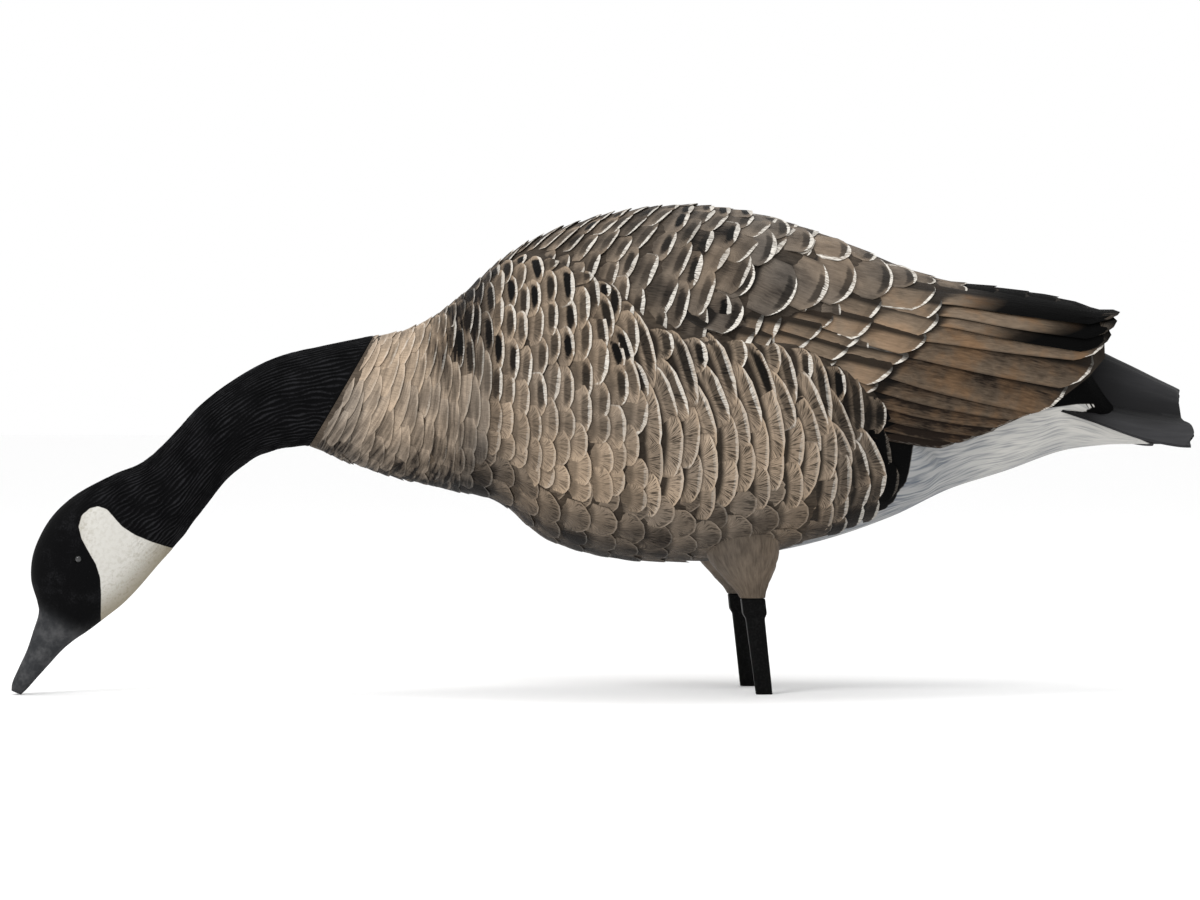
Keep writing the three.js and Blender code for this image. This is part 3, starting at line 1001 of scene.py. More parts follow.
class Shader:
    """A material and the few kinds of node that the finishes are drawn with."""

    def __init__(self, name: str, roughness: float, ior: float) -> None:
        """Starts a material with one surface shader.

        Args:
            name: Name of the material.
            roughness: How matt it is.
            ior: Strength of its gloss, as a refraction index.
        """
        self.material = bpy.data.materials.new(name)
        self.material.use_nodes = True
        self.tree = self.material.node_tree
        self.tree.nodes.clear()
        self.surface = self.tree.nodes.new("ShaderNodeBsdfPrincipled")
        self.surface.inputs["Roughness"].default_value = roughness
        self.surface.inputs["IOR"].default_value = ior
        output = self.tree.nodes.new("ShaderNodeOutputMaterial")
        self.tree.links.new(self.surface.outputs["BSDF"], output.inputs["Surface"])

    def put(self, socket: bpy.types.NodeSocket, value: Term) -> None:
        """Links a value to an input, or sets the input's own value.

        Args:
            socket: The input.
            value: What it gets.
        """
        if isinstance(value, Value):
            self.tree.links.new(value.socket, socket)
        else:
            socket.default_value = value

    def set(self, name: str, value: Term) -> None:
        """Gives the surface one of its values."""
        self.put(self.surface.inputs[name], value)

    def layer(self, name: str) -> tuple[Value, ...]:
        """The three painted values of a layer.

        Args:
            name: Name of the layer.

        Returns:
            Three values.
        """
        node = self.tree.nodes.new("ShaderNodeAttribute")
        node.attribute_name = name
        return self.split(Value(self, node.outputs["Vector"]))

    def split(self, vector: Value) -> tuple[Value, ...]:
        """The three numbers of a vector.

        Args:
            vector: The vector.

        Returns:
            Three values.
        """
        node = self.tree.nodes.new("ShaderNodeSeparateXYZ")
        self.put(node.inputs[0], vector)
        return tuple(Value(self, socket) for socket in node.outputs)

    def place(self) -> Value:
        """Place on the object."""
        return Value(self, self.tree.nodes.new("ShaderNodeTexCoord").outputs["Object"])

    def math(self, kind: str, *terms: Term) -> Value:
        """Arithmetic on numbers.

        Args:
            kind: The operation.
            terms: What it works on.

        Returns:
            The result.
        """
        node = self.tree.nodes.new("ShaderNodeMath")
        node.operation = kind
        for socket, value in zip(node.inputs, terms):
            self.put(socket, value)
        return Value(self, node.outputs[0])

    def larger(self, a: Term, b: Term) -> Value:
        """The larger of two numbers."""
        return self.math("MAXIMUM", a, b)

    def smaller(self, a: Term, b: Term) -> Value:
        """The smaller of two numbers."""
        return self.math("MINIMUM", a, b)

    def step(self, value: Value, start: float, end: float) -> Value:
        """Soft step from 0 at the start to 1 at the end; the end may be the lower of the two.

        Args:
            value: What is read.
            start: Where it starts.
            end: Where it ends.

        Returns:
            The step.
        """
        node = self.tree.nodes.new("ShaderNodeMapRange")
        node.interpolation_type = "SMOOTHSTEP"
        falls = start > end
        self.put(node.inputs["Value"], value)
        node.inputs["From Min"].default_value = min(start, end)
        node.inputs["From Max"].default_value = max(start, end)
        node.inputs["To Min"].default_value = 1.0 if falls else 0.0
        node.inputs["To Max"].default_value = 0.0 if falls else 1.0
        return Value(self, node.outputs["Result"])

    def vector(self, x: Term, y: Term, z: Term) -> Value:
        """Joins three numbers.

        Args:
            x: First number.
            y: Second number.
            z: Third number.

        Returns:
            The vector.
        """
        node = self.tree.nodes.new("ShaderNodeCombineXYZ")
        for socket, value in zip(node.inputs, (x, y, z)):
            self.put(socket, value)
        return Value(self, node.outputs[0])

    def noise(self, vector: Value, scale: float, detail: float = 2.0, rough: float = 0.5) -> Value:
        """Cloudy variation about one half.

        Args:
            vector: Where it is read.
            scale: How fine it is.
            detail: How many finer layers it has.
            rough: How strong the finer layers are.

        Returns:
            The value.
        """
        node = self.tree.nodes.new("ShaderNodeTexNoise")
        self.put(node.inputs["Vector"], vector)
        node.inputs["Scale"].default_value = scale
        node.inputs["Detail"].default_value = detail
        node.inputs["Roughness"].default_value = rough
        return Value(self, node.outputs[0])

    def mix(self, share: Term, a: Term, b: Term, blend: str = "MIX") -> Value:
        """Mixes two colours.

        Args:
            share: How much of the second.
            a: First colour.
            b: Second colour.
            blend: How they mix.

        Returns:
            The colour.
        """
        # This node's colours are its sockets 6 and 7, and its result is number 2.
        node = self.tree.nodes.new("ShaderNodeMix")
        node.data_type = "RGBA"
        node.blend_type = blend
        self.put(node.inputs[0], share)
        self.put(node.inputs[6], a)
        self.put(node.inputs[7], b)
        return Value(self, node.outputs[2])

    def bump(self, height: Value, depth: float) -> None:
        """Fine relief on the surface.

        Args:
            height: Relief from 0 to 1.
            depth: Its depth in metres.
        """
        node = self.tree.nodes.new("ShaderNodeBump")
        node.inputs["Distance"].default_value = depth
        node.inputs["Strength"].default_value = 1.0
        self.put(node.inputs["Height"], height)
        self.put(self.surface.inputs["Normal"], Value(self, node.outputs[0]))


@dataclass(frozen=True)
class PaintedFeathers:
    """Airbrushed and dry-brushed paint over moulded feathers.

    Lengths are in millimetres, widths are shares of a feather's half width.
    """

    cold_dark: Colour = linear(17, 16, 16)
    cold_light: Colour = linear(146, 139, 131)
    warm_dark: Colour = linear(27, 20, 15)
    warm_light: Colour = linear(190, 167, 142)
    rust: Colour = (1.0, 0.76, 0.54, 1.0)
    # Near-black of the dark patches and barb strokes, also used for painted shadow in the seams and
    # under feather edges.
    fringe: Colour = linear(216, 211, 202)
    seam: Colour = linear(8, 7, 6)
    white: Colour = linear(188, 186, 181)
    shade: Colour = linear(92, 98, 106)
    black: Colour = linear(8, 8, 8)
    roughness: float = 0.6
    ior: float = 1.15
    black_ior: float = 1.06
    bump_depth: float = 0.4 * MM
    barb_scale: float = 0.8
    hair_scale: float = 2.4
    cloud_scale: float = 38.0
    wash_scale: float = 13.0
    gap_scale: float = 75.0
    strand_scale: float = 430.0
    strand_lean: float = 0.62
    strand_strength: float = 1.9
    brush_scale: float = 0.5
    brush_sway: float = 14.0
    patch_gap: float = 2.4
    patch_length: float = 2.9
    patch_width: float = 0.62
    fringe_reach: float = 0.84
    fringe_ragged: float = 1.6
    seam_shadow_width: float = 4.5

    def make(self) -> bpy.types.Material:
        """Builds the finish, one coat over the other.

        Returns:
            The material.
        """
        s = Shader("painted_feathers", self.roughness, self.ior)
        on = FeatherPaint(s, self)
        colour = on.ground_coat()
        colour = s.mix(on.dark_patch() * 0.9, colour, self.seam)
        colour = s.mix(on.strokes() * 0.85, colour, self.seam)
        rim = s.step(on.edge, 2.4, 0.8) * on.rimmed * s.step(on.tone, 0.1, 0.5)
        colour = s.mix(rim, colour, self.warm_light)
        pale = on.pale_fringe()
        colour = s.mix(pale, colour, self.fringe)
        # Painted shadow: dark seams under the row before and along the sides, and dark undersides at the
        # feather edges.
        colour = s.mix(on.painted_seam_shadow(), colour, self.seam)
        colour = s.mix(on.under * 0.95, colour, self.seam)
        black = on.black * (1.0 - s.larger(pale, on.rump))
        colour = s.mix(black, s.mix(on.rump, colour, on.rump_coat()), self.black)
        s.set("Base Color", colour)
        s.set("IOR", self.ior - black * (self.ior - self.black_ior))
        relief = on.streak + on.fine * 0.6 + on.strand * on.strands
        s.bump(s.mix(on.rump, relief, on.brush), self.bump_depth)
        return s.material


class FeatherPaint:
    """What the coats on the feathers are worked out from at each place, and how strong they are."""

    def __init__(self, s: Shader, paint: PaintedFeathers) -> None:
        """Reads the painted values and draws what varies between them.

        Args:
            s: The shader.
            paint: The finish with its colours and scales.
        """
        self.s = s
        self.paint = paint
        self.from_tip, self.from_shaft, self.seed = s.layer("feather")
        self.edge, self.out, self.under = s.layer("blade")
        self.fringe_width, self.whiteness, self.patch = s.layer("ink")
        self.tone, self.warmth, self.barbs = s.layer("ground")
        self.seams, self.strands, self.rimmed = s.layer("grain")
        rump, self.black, self.across = s.layer("mark")
        self.rump = s.step(rump, 0.42, 0.58)
        self.aside = abs(self.across)
        self.far = self.seed * 57.0
        self.place = s.place()
        self.x, y, z = s.split(self.place)
        self.cloud = s.noise(self.place, paint.cloud_scale, 3.0, 0.6)
        self.wash_and_shade = s.noise(self.place, paint.wash_scale)
        # Barbs run with the shaft and fan out towards the edge.
        fan = s.larger((self.out + 6.0) * 0.05, 1.0 - self.barbs * 0.75)
        spread = self.from_shaft / s.smaller(fan, 1.0)
        barb_at = s.vector(spread, self.from_tip * 0.12, self.far)
        self.streak = s.noise(barb_at, paint.barb_scale, 2.0, 0.6)
        hair_at = s.vector(spread, self.from_tip * 0.07, self.far)
        self.fine = s.noise(hair_at, paint.hair_scale, 1.0)
        self.comb = s.step(self.streak + self.fine * 0.4, 0.66, 0.8)
        # Strands of the breast stand upright and lean with the neck joint near it.
        lean = s.step(self.x, -0.09, -0.21) * paint.strand_lean
        upright = self.x - lean * (z - 0.235)
        strand_at = s.vector(upright, y * 0.1, z * 0.09)
        self.strand = s.noise(strand_at, paint.strand_scale, 3.0, 0.65) - 0.5
        # Long strokes of the rump sway as they run to the tail.
        sway = s.noise(self.place, 22.0, 1.0) * paint.brush_sway
        brush_at = s.vector(self.from_shaft + sway, self.from_tip * 0.07, 0.0)
        self.brush = s.noise(brush_at, paint.brush_scale, 2.0, 0.6)

    def ground_coat(self) -> Value:
        """Ground colour, lighter at the sides of a feather than along its shaft.

        Returns:
            The colour.
        """
        s, paint = self.s, self.paint
        blotch = (self.cloud - 0.5) * (0.35 + self.patch * 0.4)
        sides = (self.aside - 0.45) * 0.16
        light = self.tone + blotch + sides + (self.streak - 0.5) * (0.25 + self.barbs * 0.5)
        light = light + self.strand * paint.strand_strength * self.strands
        cold = s.mix(light, paint.cold_dark, paint.cold_light)
        warm = s.mix(light, paint.warm_dark, paint.warm_light)
        colour = s.mix(s.step(self.warmth + (self.wash_and_shade - 0.5), 0.0, 1.0), cold, warm)
        rusty = s.step(self.warmth, 0.76, 0.94) * s.step(self.cloud, 0.38, 0.66)
        return s.mix(rusty * 0.75, colour, paint.rust, "MULTIPLY")

    def dark_patch(self) -> Value:
        """Dark oval before the fringe.

        Returns:
            How strong it is.
        """
        past = self.from_tip - (self.fringe_width + self.paint.patch_gap)
        along = past / self.paint.patch_length
        wide = self.aside / self.paint.patch_width
        oval = along * along + wide * wide + (self.streak - 0.5) * 1.6
        return self.s.step(oval, 1.7, 0.5) * self.patch

    def strokes(self) -> Value:
        """Comb of dark barb strokes near the tip.

        Returns:
            How strong they are.
        """
        near_tip = self.s.step(self.from_tip, 16.0, 6.0) * self.s.step(self.from_tip, 0.6, 2.2)
        return self.comb * near_tip * self.barbs

    def pale_fringe(self) -> Value:
        """Pale fringe over the middle of the end, ragged and broken.

        Returns:
            How much of it covers.
        """
        s = self.s
        bent = (self.across - (self.seed - 0.5) * 0.5) / self.paint.fringe_reach
        crescent = 1.0 - bent * bent
        uneven = 0.65 + s.math("FRACT", self.far) * 0.7
        ragged = self.edge + (self.fine - 0.5) * self.paint.fringe_ragged
        depth = ragged - self.fringe_width * crescent * uneven
        broken = s.step(self.fine + self.cloud * 0.5, 0.72, 0.86) * 0.75
        cloudy = s.noise(self.place, self.paint.gap_scale)
        gaps = s.step(cloudy, 0.42, 0.58) * self.strands * 0.8
        lost = s.larger(s.larger(broken, gaps), self.comb * self.barbs * 0.55)
        pale = s.step(depth, 0.4, -0.25) * self.whiteness
        return pale * (1.0 - lost) * s.step(crescent, 0.0, 0.3)

    def painted_seam_shadow(self) -> Value:
        """Painted shadow: dark seams under the row before and along a feather's sides.

        Returns:
            How strong they are.
        """
        s = self.s
        close = 1.0 - self.strands * 0.6
        root = s.step(self.out / close, self.paint.seam_shadow_width, 0.0) * 0.9
        return s.larger(root, s.step(self.aside, 0.88, 1.0) * 0.4) * self.seams

    def rump_coat(self) -> Value:
        """White of the rump with long grey strokes, and painted shade in soft clouds and towards the
        flank.

        Returns:
            The colour.
        """
        s = self.s
        # Painted shade: grey-blue clouds and greyer towards the flank, over the grey paint strokes.
        soft = s.step(self.brush, 0.4, 0.7) * 0.5 + s.step(self.wash_and_shade, 0.45, 0.65) * 0.3
        soft = soft + s.step(self.x, 0.32, 0.22) * 0.5
        return s.mix(soft, self.paint.white, self.paint.shade)


@dataclass(frozen=True)
class DarkFeathers:
    """Near-black paint of the tail, with a painted grey sheen where light falls on it."""

    colour: Colour = linear(14, 14, 15)
    mottle: Colour = linear(46, 46, 48)
    roughness: float = 0.5
    ior: float = 1.2
    ray_scale: float = 260.0
    cloud_scale: float = 24.0
    bump_depth: float = 0.3 * MM

    def make(self) -> bpy.types.Material:
        """Builds the finish.

        Returns:
            The material.
        """
        s = Shader("tail_paint", self.roughness, self.ior)
        place = s.place()
        x, y, z = s.split(place)
        rays = s.noise(s.vector(x * 0.08, y, z * 0.5), self.ray_scale)
        cloud = s.noise(place, self.cloud_scale)
        lit, _, _ = s.layer("ground")
        # Painted sheen: the tail turns grey where it is lit, broken by clouds and rays.
        s.set("Base Color", s.mix(lit * (cloud * 0.9 + rays * 0.7), self.colour, self.mottle))
        s.bump(rays, self.bump_depth)
        return s.material


@dataclass(frozen=True)
class Flock:
    """Short black flock over the head and neck, with the cheek patch and the bill."""

    black: Colour = linear(9, 9, 10)
    # Grey of the painted highlight on the raised nap and ridges.
    nap_and_sheen: Colour = linear(36, 36, 38)
    cheek: Colour = linear(194, 192, 186)
    cheek_low: Colour = linear(122, 113, 92)
    bill: Colour = linear(48, 49, 51)
    bill_worn: Colour = linear(76, 76, 77)
    roughness: float = 0.92
    ior: float = 1.12
    sheen: float = 0.03
    sheen_roughness: float = 0.4
    nap_scale: float = 900.0
    cloud_scale: float = 60.0
    grit_scale: float = 340.0
    bump_depth: float = 0.25 * MM

    def make(self) -> bpy.types.Material:
        """Builds the finish.

        Returns:
            The material.
        """
        s = Shader("flocked_neck", self.roughness, self.ior)
        place = s.place()
        cheek, bill, throat = s.layer("mark")
        ridge, _, _ = s.layer("feather")
        nap_and_sheen = s.noise(place, self.nap_scale, 2.0, 0.7)
        cloud = s.noise(place, self.cloud_scale, 3.0, 0.6)
        grit = s.noise(place, self.grit_scale, 3.0, 0.6)
        # Painted highlight: the raised nap and the neck's ridges are lighter grey, as sheen on the
        # flock.
        raised = nap_and_sheen * 0.6 + ridge * 0.3 + (cloud - 0.5) * 0.8
        dark = s.mix(s.step(raised, 0.3, 0.75), self.black, self.nap_and_sheen)
        low = s.step(throat + (grit - 0.5) * 30.0, 21.0, -1.0)
        soft = s.mix(low * 0.85, self.cheek, self.cheek_low)
        mottle = s.step(grit, 0.42, 0.66) * (0.12 + s.step(throat, 34.0, 8.0) * 0.4)
        soft = s.mix(mottle, soft, self.cheek_low)
        colour = s.mix(s.step(cheek + (nap_and_sheen - 0.5) * 0.6, -0.2, 0.3), dark, soft)
        horn = s.mix(s.step(cloud + grit * 0.3, 0.5, 0.85), self.bill, self.bill_worn)
        s.set("Base Color", s.mix(bill, colour, horn))
        s.set("Sheen Weight", self.sheen)
        s.set("Sheen Roughness", self.sheen_roughness)
        s.bump(nap_and_sheen, self.bump_depth)
        return s.material


@dataclass(frozen=True)
class PlainPlastic:
    """Moulded plastic in one colour with a fine grain."""

    name: str
    colour: Colour
    roughness: float
    ior: float
    grain_scale: float = 600.0
    bump_depth: float = 0.05 * MM

    def make(self) -> bpy.types.Material:
        """Builds the finish.

        Returns:
            The material.
        """
        s = Shader(self.name, self.roughness, self.ior)
        grain = s.noise(s.place(), self.grain_scale)
        mottle = tuple(min(1.0, part * 1.6 + 0.004) for part in self.colour[:3]) + (1.0,)
        s.set("Base Color", s.mix(s.step(grain, 0.4, 0.8), self.colour, mottle))
        s.bump(grain, self.bump_depth)
        return s.material


@dataclass(frozen=True)
class RowPlan:
    """Feather rows of one layer of the body.

    Stations count along the torso's table, distances are in millimetres.
    """

    first: float
    last: float
    stations: tuple[float, ...]
    pitches: tuple[float, ...]
    overlap: float
    corner: float
    roundness: float


class Layer(Enum):
    """Layers of feather rows, laid one over the other."""

    BACK = RowPlan(3.7, 9.5, (3.7, 5.2, 6.5, 8.0, 9.0), (8.5, 10.5, 14.0, 19.0, 24.0), 2.1,
                   0.15, 3.2)
    SIDE = RowPlan(0.3, 10.6, (0.0, 3.0, 4.5, 6.0, 10.6), (7.2, 8.0, 12.0, 13.0, 12.5), 2.2,
                   0.2, 2.8)
    BELLY = RowPlan(3.0, 9.7, (3.0, 4.5, 9.7), (14.0, 19.0, 21.0), 2.1, 0.24, 2.6)


@dataclass(frozen=True)
class WingFeather:
    """One feather of the wing, as its tip shows in the photograph.

    Places and sizes are in pixels, the slope is in degrees below level.
    """

    tip: tuple[float, float]
    slope: float
    length: float
    width: float
    shown: float
    tone: float
    warmth: float


SCAPULARS = (
    WingFeather((776, 250), 16, 66, 42, 34, 0.27, 0.35),
    WingFeather((790, 231), 14, 60, 26, 40, 0.25, 0.4),
    WingFeather((814, 243), 14, 60, 28, 40, 0.29, 0.45),
    WingFeather((852, 253), 14, 64, 26, 44, 0.35, 0.6),
    WingFeather((741, 318), 20, 58, 40, 26, 0.27, 0.45),
    WingFeather((752, 283), 24, 60, 44, 32, 0.25, 0.4),
    WingFeather((793, 297), 27, 74, 58, 42, 0.25, 0.45),
    WingFeather((826, 293), 27, 74, 54, 42, 0.3, 0.65),
    WingFeather((855, 287), 24, 78, 54, 44, 0.31, 0.6),
    WingFeather((894, 283), 16, 80, 46, 50, 0.25, 0.55),
    WingFeather((919, 280), 10, 70, 26, 40, 0.25, 0.6),
)


@dataclass(frozen=True)
class CovertRow:
    """One row of the wing's coverts, as its fringes show in the photograph.

    The corners and the shown length are in pixels. The length reaches further under the next
    row by a factor.
    """

    corners: tuple[tuple[float, float], ...]
    shown: float
    reach: float = 1.7


COVERT_ROWS = (
    CovertRow(((760, 318), (752, 334), (742, 348)), 18),
    CovertRow(((778, 322), (770, 336), (760, 350)), 18),
    CovertRow(((833, 319), (822, 328), (809, 340), (798, 350), (787, 360)), 40),
    CovertRow(((879, 305), (872, 322), (860, 338), (848, 349), (836, 361), (826, 369),
               (818, 378)), 50),
    CovertRow(((927, 296), (938, 309), (939, 323), (929, 340), (914, 356), (894, 368),
               (880, 385), (864, 398), (848, 409)), 62, 1.95),
)
QUILL_FORM = BladeForm(
    along=(0.0, 0.1, 0.2, 0.3, 0.4, 0.5, 0.6, 0.7, 0.8, 0.88, 0.94, 0.98, 1.0),
    across=(-1.0, -0.86, -0.45, 0.0, 0.45, 0.86, 1.0),
    corner=0.07, roundness=2.4, slant=0.12, lapped=-0.3, root_width=0.85,
    root_sink=1.6 * MM, tip_rise=2.8 * MM, ramp=0.35, camber=0.6 * MM, tilt=2.2 * MM,
    bow=2.6 * MM, keel=3.5 * MM, keel_place=0.8,
)
SCAPULAR_FORM = BladeForm(
    along=(0.0, 0.2, 0.35, 0.5, 0.65, 0.78, 0.88, 0.95, 1.0),
    across=(-1.0, -0.88, -0.7, -0.48, -0.24, 0.0, 0.24, 0.48, 0.7, 0.88, 1.0),
    corner=0.2, roundness=2.4, slant=0.06, root_sink=1.2 * MM, tip_rise=2.6 * MM,
    camber=1.1 * MM, keel_place=0.8,
)
COVERT_FORM = replace(
    SCAPULAR_FORM, corner=0.08, roundness=2.6, slant=0.17, lapped=-0.5, camber=0.9 * MM,
)
# Share of its length from which each of the uppermost long feathers is black.
QUILL_BLACK = (0.36, 0.72, 0.5)
# Long feathers with a pale end.
TIPPED_QUILLS = range(3, 6)
# Feathers side by side in each row over the middle of the rump, from the back to the tail.
TOP_COLUMNS = (6, 6, 6, 6, 6, 3, 3, 3, 3, 2, 2)
TOP_BLACK_ROW = 7


@dataclass(frozen=True)
class Row:
    """One row of feathers on one side of the torso."""

    layer: Layer
    skin: TorsoSkin
    station: float
    number: int
    side: int

    @property
    def shown(self) -> float:
        """How much of each feather shows, which is also how far the next row is."""
        plan = self.layer.value
        return float(np.interp(self.station, plan.stations, plan.pitches)) * MM

    @property
    def bordered(self) -> bool:
        """Whether the row starts at the flank's border and not at the middle of the back."""
        return self.layer is Layer.SIDE and self.station > BORDER_FROM

    def place(self, turn: float) -> float:
        """Station where the row passes at a turn from the middle of the back.

        Args:
            turn: Share of the half turn from the back.

        Returns:
            The station there.
        """
        if self.layer is Layer.BELLY:
            return self.station
        lean = self.skin.lean_forward if self.layer is Layer.SIDE else self.skin.lean_back
        return float(lean(np.array(self.station), np.array(turn)))

    def start(self) -> float:
        """Turn where the row starts.

        Returns:
            Share of the half turn from the back.
        """
        edge = 0.0
        if self.bordered:
            for _ in range(3):
                edge = float(self.skin.flank_border(self.place(edge)))
        return edge

    def group(self, station: float) -> Tract:
        """Feather group at a place of the row.

        Args:
            station: Station along the body.

        Returns:
            The group.
        """
        if self.layer is Layer.BELLY:
            return Tract.BELLY
        if self.layer is Layer.BACK:
            return Tract.MANTLE if station < SHOULDER_END else Tract.SCAPULAR
        if station < BREAST_END:
            return Tract.BREAST
        return Tract.SIDE_BREAST if station < SHOULDER_END else Tract.FLANK

    def holds(self, station: float, turn: float, border: float) -> bool:
        """Whether the row has a feather at a place.

        Args:
            station: Station along the body.
            turn: Share of the half turn from the back.
            border: Share where the flank feathers begin.

        Returns:
            True if it has.
        """
        if turn > 1.0:
            return False
        if self.layer is Layer.BACK:
            # The rows end over the folded wing, and later near the middle.
            limit = 7.8 + 2.3 * (1 - float(smooth(0.1, 0.3, turn)))
            return 4.0 < station < limit and turn < border + 0.015
        low = float(np.interp(station, FLANK_END[:, 0], FLANK_END[:, 1]))
        last = float(np.interp(turn, RUMP_LINE[:, 0], RUMP_LINE[:, 1]))
        if self.layer is Layer.SIDE:
            return (station < 4.05 or turn > border) and turn < low and station < last - 0.02
        return turn > low - 0.075 and station < last - 0.1

    def paint(self, look: Plumage, station: float, turn: float, border: float,
              jitter: float) -> tuple[Triple, Triple, float]:
        """Paint of a feather of the row.

        Args:
            look: The feather group's own paint.
            station: Station along the body.
            turn: Share of the half turn from the back.
            border: Share where the flank feathers begin.
            jitter: A random number for the tone.

        Returns:
            Ink values, ground values and the share from which it is black.
        """
        white = look.whiteness
        patch = look.patch
        tone = look.tone + 0.07 * jitter
        warmth = look.warmth
        black = NEVER_BLACK
        if self.layer is Layer.SIDE and station < BREAST_END:
            # Dark gaps between pale edges above, plain below.
            upper = 1 - float(smooth(0.3, 0.6, turn))
            late = float(smooth(1.2, 3.4, station))
            warmth -= 0.2 * (1 - upper)
            white *= (0.8 + 0.7 * late) * (0.15 + 0.85 * upper)
            tone += 0.17 - 0.4 * upper * late
            patch += 0.6 * upper * late
        elif self.layer is Layer.SIDE:
            # Paler and plainer below, darker next to the wing and towards the rump.
            lower = float(smooth(0.46, 0.64, turn))
            near = 1 - float(smooth(0, 0.12, turn - border))
            rear = float(smooth(8.4, 9.5, station))
            white = max(white * (1 - 0.75 * lower), 0.75 * rear)
            patch = patch * (1 - 0.9 * lower) + 0.2 * near + 0.4 * rear
            tone += 0.1 * lower - (0.12 + 0.12 * (station < SHOULDER_END)) * near - 0.34 * rear
            if station > BLACK_FROM:
                white = 0.35
                black = -1.0
        return (look.fringe, white, patch), (tone, warmth, look.barbs), black


@dataclass
class Body:
    """The moulded body: torso, feathers, wings, tail and thighs in one piece.

    Places along the wings are in thousandths of the length.
    """

    rings: int = 84
    rear_rings: int = 60
    rear_station: float = 10.5
    columns: int = 96
    widening: float = 1.3
    scatter_along: float = 0.025
    scatter_across: float = 0.004
    scatter_length: float = 0.06
    scatter_width: float = 0.08
    scatter_turn: float = 0.06
    scatter_rise: float = 0.15
    side_breast_scatter: float = 1.5
    stroke_radius: float = 60.0
    wing_rings: int = 40
    wing_columns: int = 24
    wing_front_drop: float = 3.5 * MM
    wing_groove: float = 3.0 * MM
    hidden_root: float = 32 * MM
    quill_overlap: float = 1.12
    covert_slope: float = 15.0
    covert_overlap: float = 6.0
    top_start: float = 151.0
    top_pitch: float = 27.0
    top_slant: float = 4.0
    top_angle: float = 0.11
    top_turn: float = 0.24
    top_stagger: float = 0.05
    top_feather: Triple = (54 * MM, 30 * MM, 26 * MM)
    tail_rings: int = 41
    tail_feathers: int = 6
    tail_crease: float = 0.5
    thigh_sides: int = 48
    thigh_rings: int = 25
    thigh_along: float = 33 * MM
    thigh_across: float = 30 * MM
    thigh_rim: float = 0.6 * MM
    thigh_fold: float = 0.5 * MM
    seed: int = 11
    parts: MeshParts = field(default_factory=MeshParts)
    chance: np.random.Generator = field(init=False)

    def __post_init__(self) -> None:
        """Starts the random draws."""
        self.chance = np.random.default_rng(self.seed)

    def build_core(self, skin: TorsoSkin) -> None:
        """Adds the plain torso that the feathers lie on.

        Args:
            skin: Its surface.
        """
        front = np.linspace(0, self.rear_station, self.rings, endpoint=False)
        rear = np.linspace(self.rear_station, len(TORSO) - 1, self.rear_rings)
        angles = np.arange(self.columns) / self.columns * 2 * math.pi
        p, q = np.meshgrid(np.concatenate([front, rear]), angles, indexing="ij")
        sunk = 0.3 * smooth(0.05, 0.3, p) + 0.6 * smooth(0.1, 0.8, p) * (1 - smooth(3.8, 4.6, p))
        points, faces = closed_loft(skin.at(p, q, -sunk * MM))
        turn = np.minimum(q, 2 * math.pi - q).ravel() / math.pi
        mark = np.tile((0.0, 1.0, 0.0), (len(points), 1))
        mark[:p.size, 0] = 0.5 + self.rump_border(points[:p.size], p.ravel(), turn)
        mark[-1, 0] = 1.0
        mark[:p.size, 1] = self.core_black(p.ravel(), turn)
        run = np.full((len(points), 3), FAR)
        run[:p.size, 0] = points[:p.size, 0] / MM
        run[:p.size, 1] = q.ravel() * self.stroke_radius
        self.parts.add(points, faces, {"mark": mark, "feather": run})

    @staticmethod
    def rump_border(points: np.ndarray, station: np.ndarray, turn: np.ndarray) -> np.ndarray:
        """How far a place is inside the white rump.

        Args:
            points: Places in metres.
            station: Their stations.
            turn: Their shares of the half turn from the back.

        Returns:
            From -0.5 outside to 0.5 inside, 0 on the border.
        """
        start = np.interp(turn, RUMP_LINE[:, 0], RUMP_LINE[:, 1])
        white = np.clip(np.minimum(station - start, 3 * (turn - 0.57)) * 7.5, -0.5, 0.5)
        below = np.clip(side_view_distance(points, WHITE_REAR) / 6, -0.5, 0.5)
        late = smooth(10.6, 10.8, station)
        return white * (1 - late) + below * late

    @staticmethod
    def core_black(station: np.ndarray, turn: np.ndarray) -> np.ndarray:
        """How black the torso is between and behind its feathers.

        Args:
            station: Stations.
            turn: Shares of the half turn from the back.

        Returns:
            From 0 to 1.
        """
        rear = smooth(9.2, 9.5, station) * smooth(0.45, 0.55, turn)
        black = 0.5 + 0.5 * np.maximum(rear, smooth(11.6, 12.2, station))
        return black * (0.35 + 0.65 * smooth(3.4, 4.4, station))

    def lay_rows(self, layer: Layer, skin: TorsoSkin) -> int:
        """Lays the feather rows of one layer.

        Args:
            layer: The layer.
            skin: The surface under it.

        Returns:
            How many feathers were laid.
        """
        plan = layer.value
        feathers = Feathers()
        station = plan.first
        number = 0
        while station < plan.last:
            for side in (-1, 1):
                row = Row(layer, skin, station, number, side)
                self.lay_row(row, feathers)
            run = np.linalg.norm(skin.slopes(np.array([station]), np.array([math.pi / 2]))[0])
            station += row.shown / float(run)
            number += 1
        form = BladeForm(corner=plan.corner, roundness=plan.roundness)
        form.lay(skin, feathers, self.parts)
        return len(feathers)

    def lay_row(self, row: Row, feathers: Feathers) -> None:
        """Lays one row from its start to the middle of the belly.

        Args:
            row: The row.
            feathers: Takes the feathers.
        """
        edge = row.start()
        odd = row.number % 2 == 1
        first = True
        while edge < 1.0:
            p = row.place(edge)
            look = PLUMAGE[row.group(p)]
            wide = look.width
            if row.layer is Layer.SIDE:
                wide *= 1 - 0.25 * float(smooth(0.5, 0.7, edge))
            if first and odd and row.bordered:
                wide *= 0.5
            run = np.linalg.norm(row.skin.slopes(np.array([p]), np.array([edge * math.pi + 1e-3]))[1])
            step = wide * MM / float(run) / math.pi
            if first and not odd and not row.bordered:
                edge = -step / 2
            self.lay_feather(row, feathers, look, edge + step / 2, wide * MM)
            edge += step
            first = False

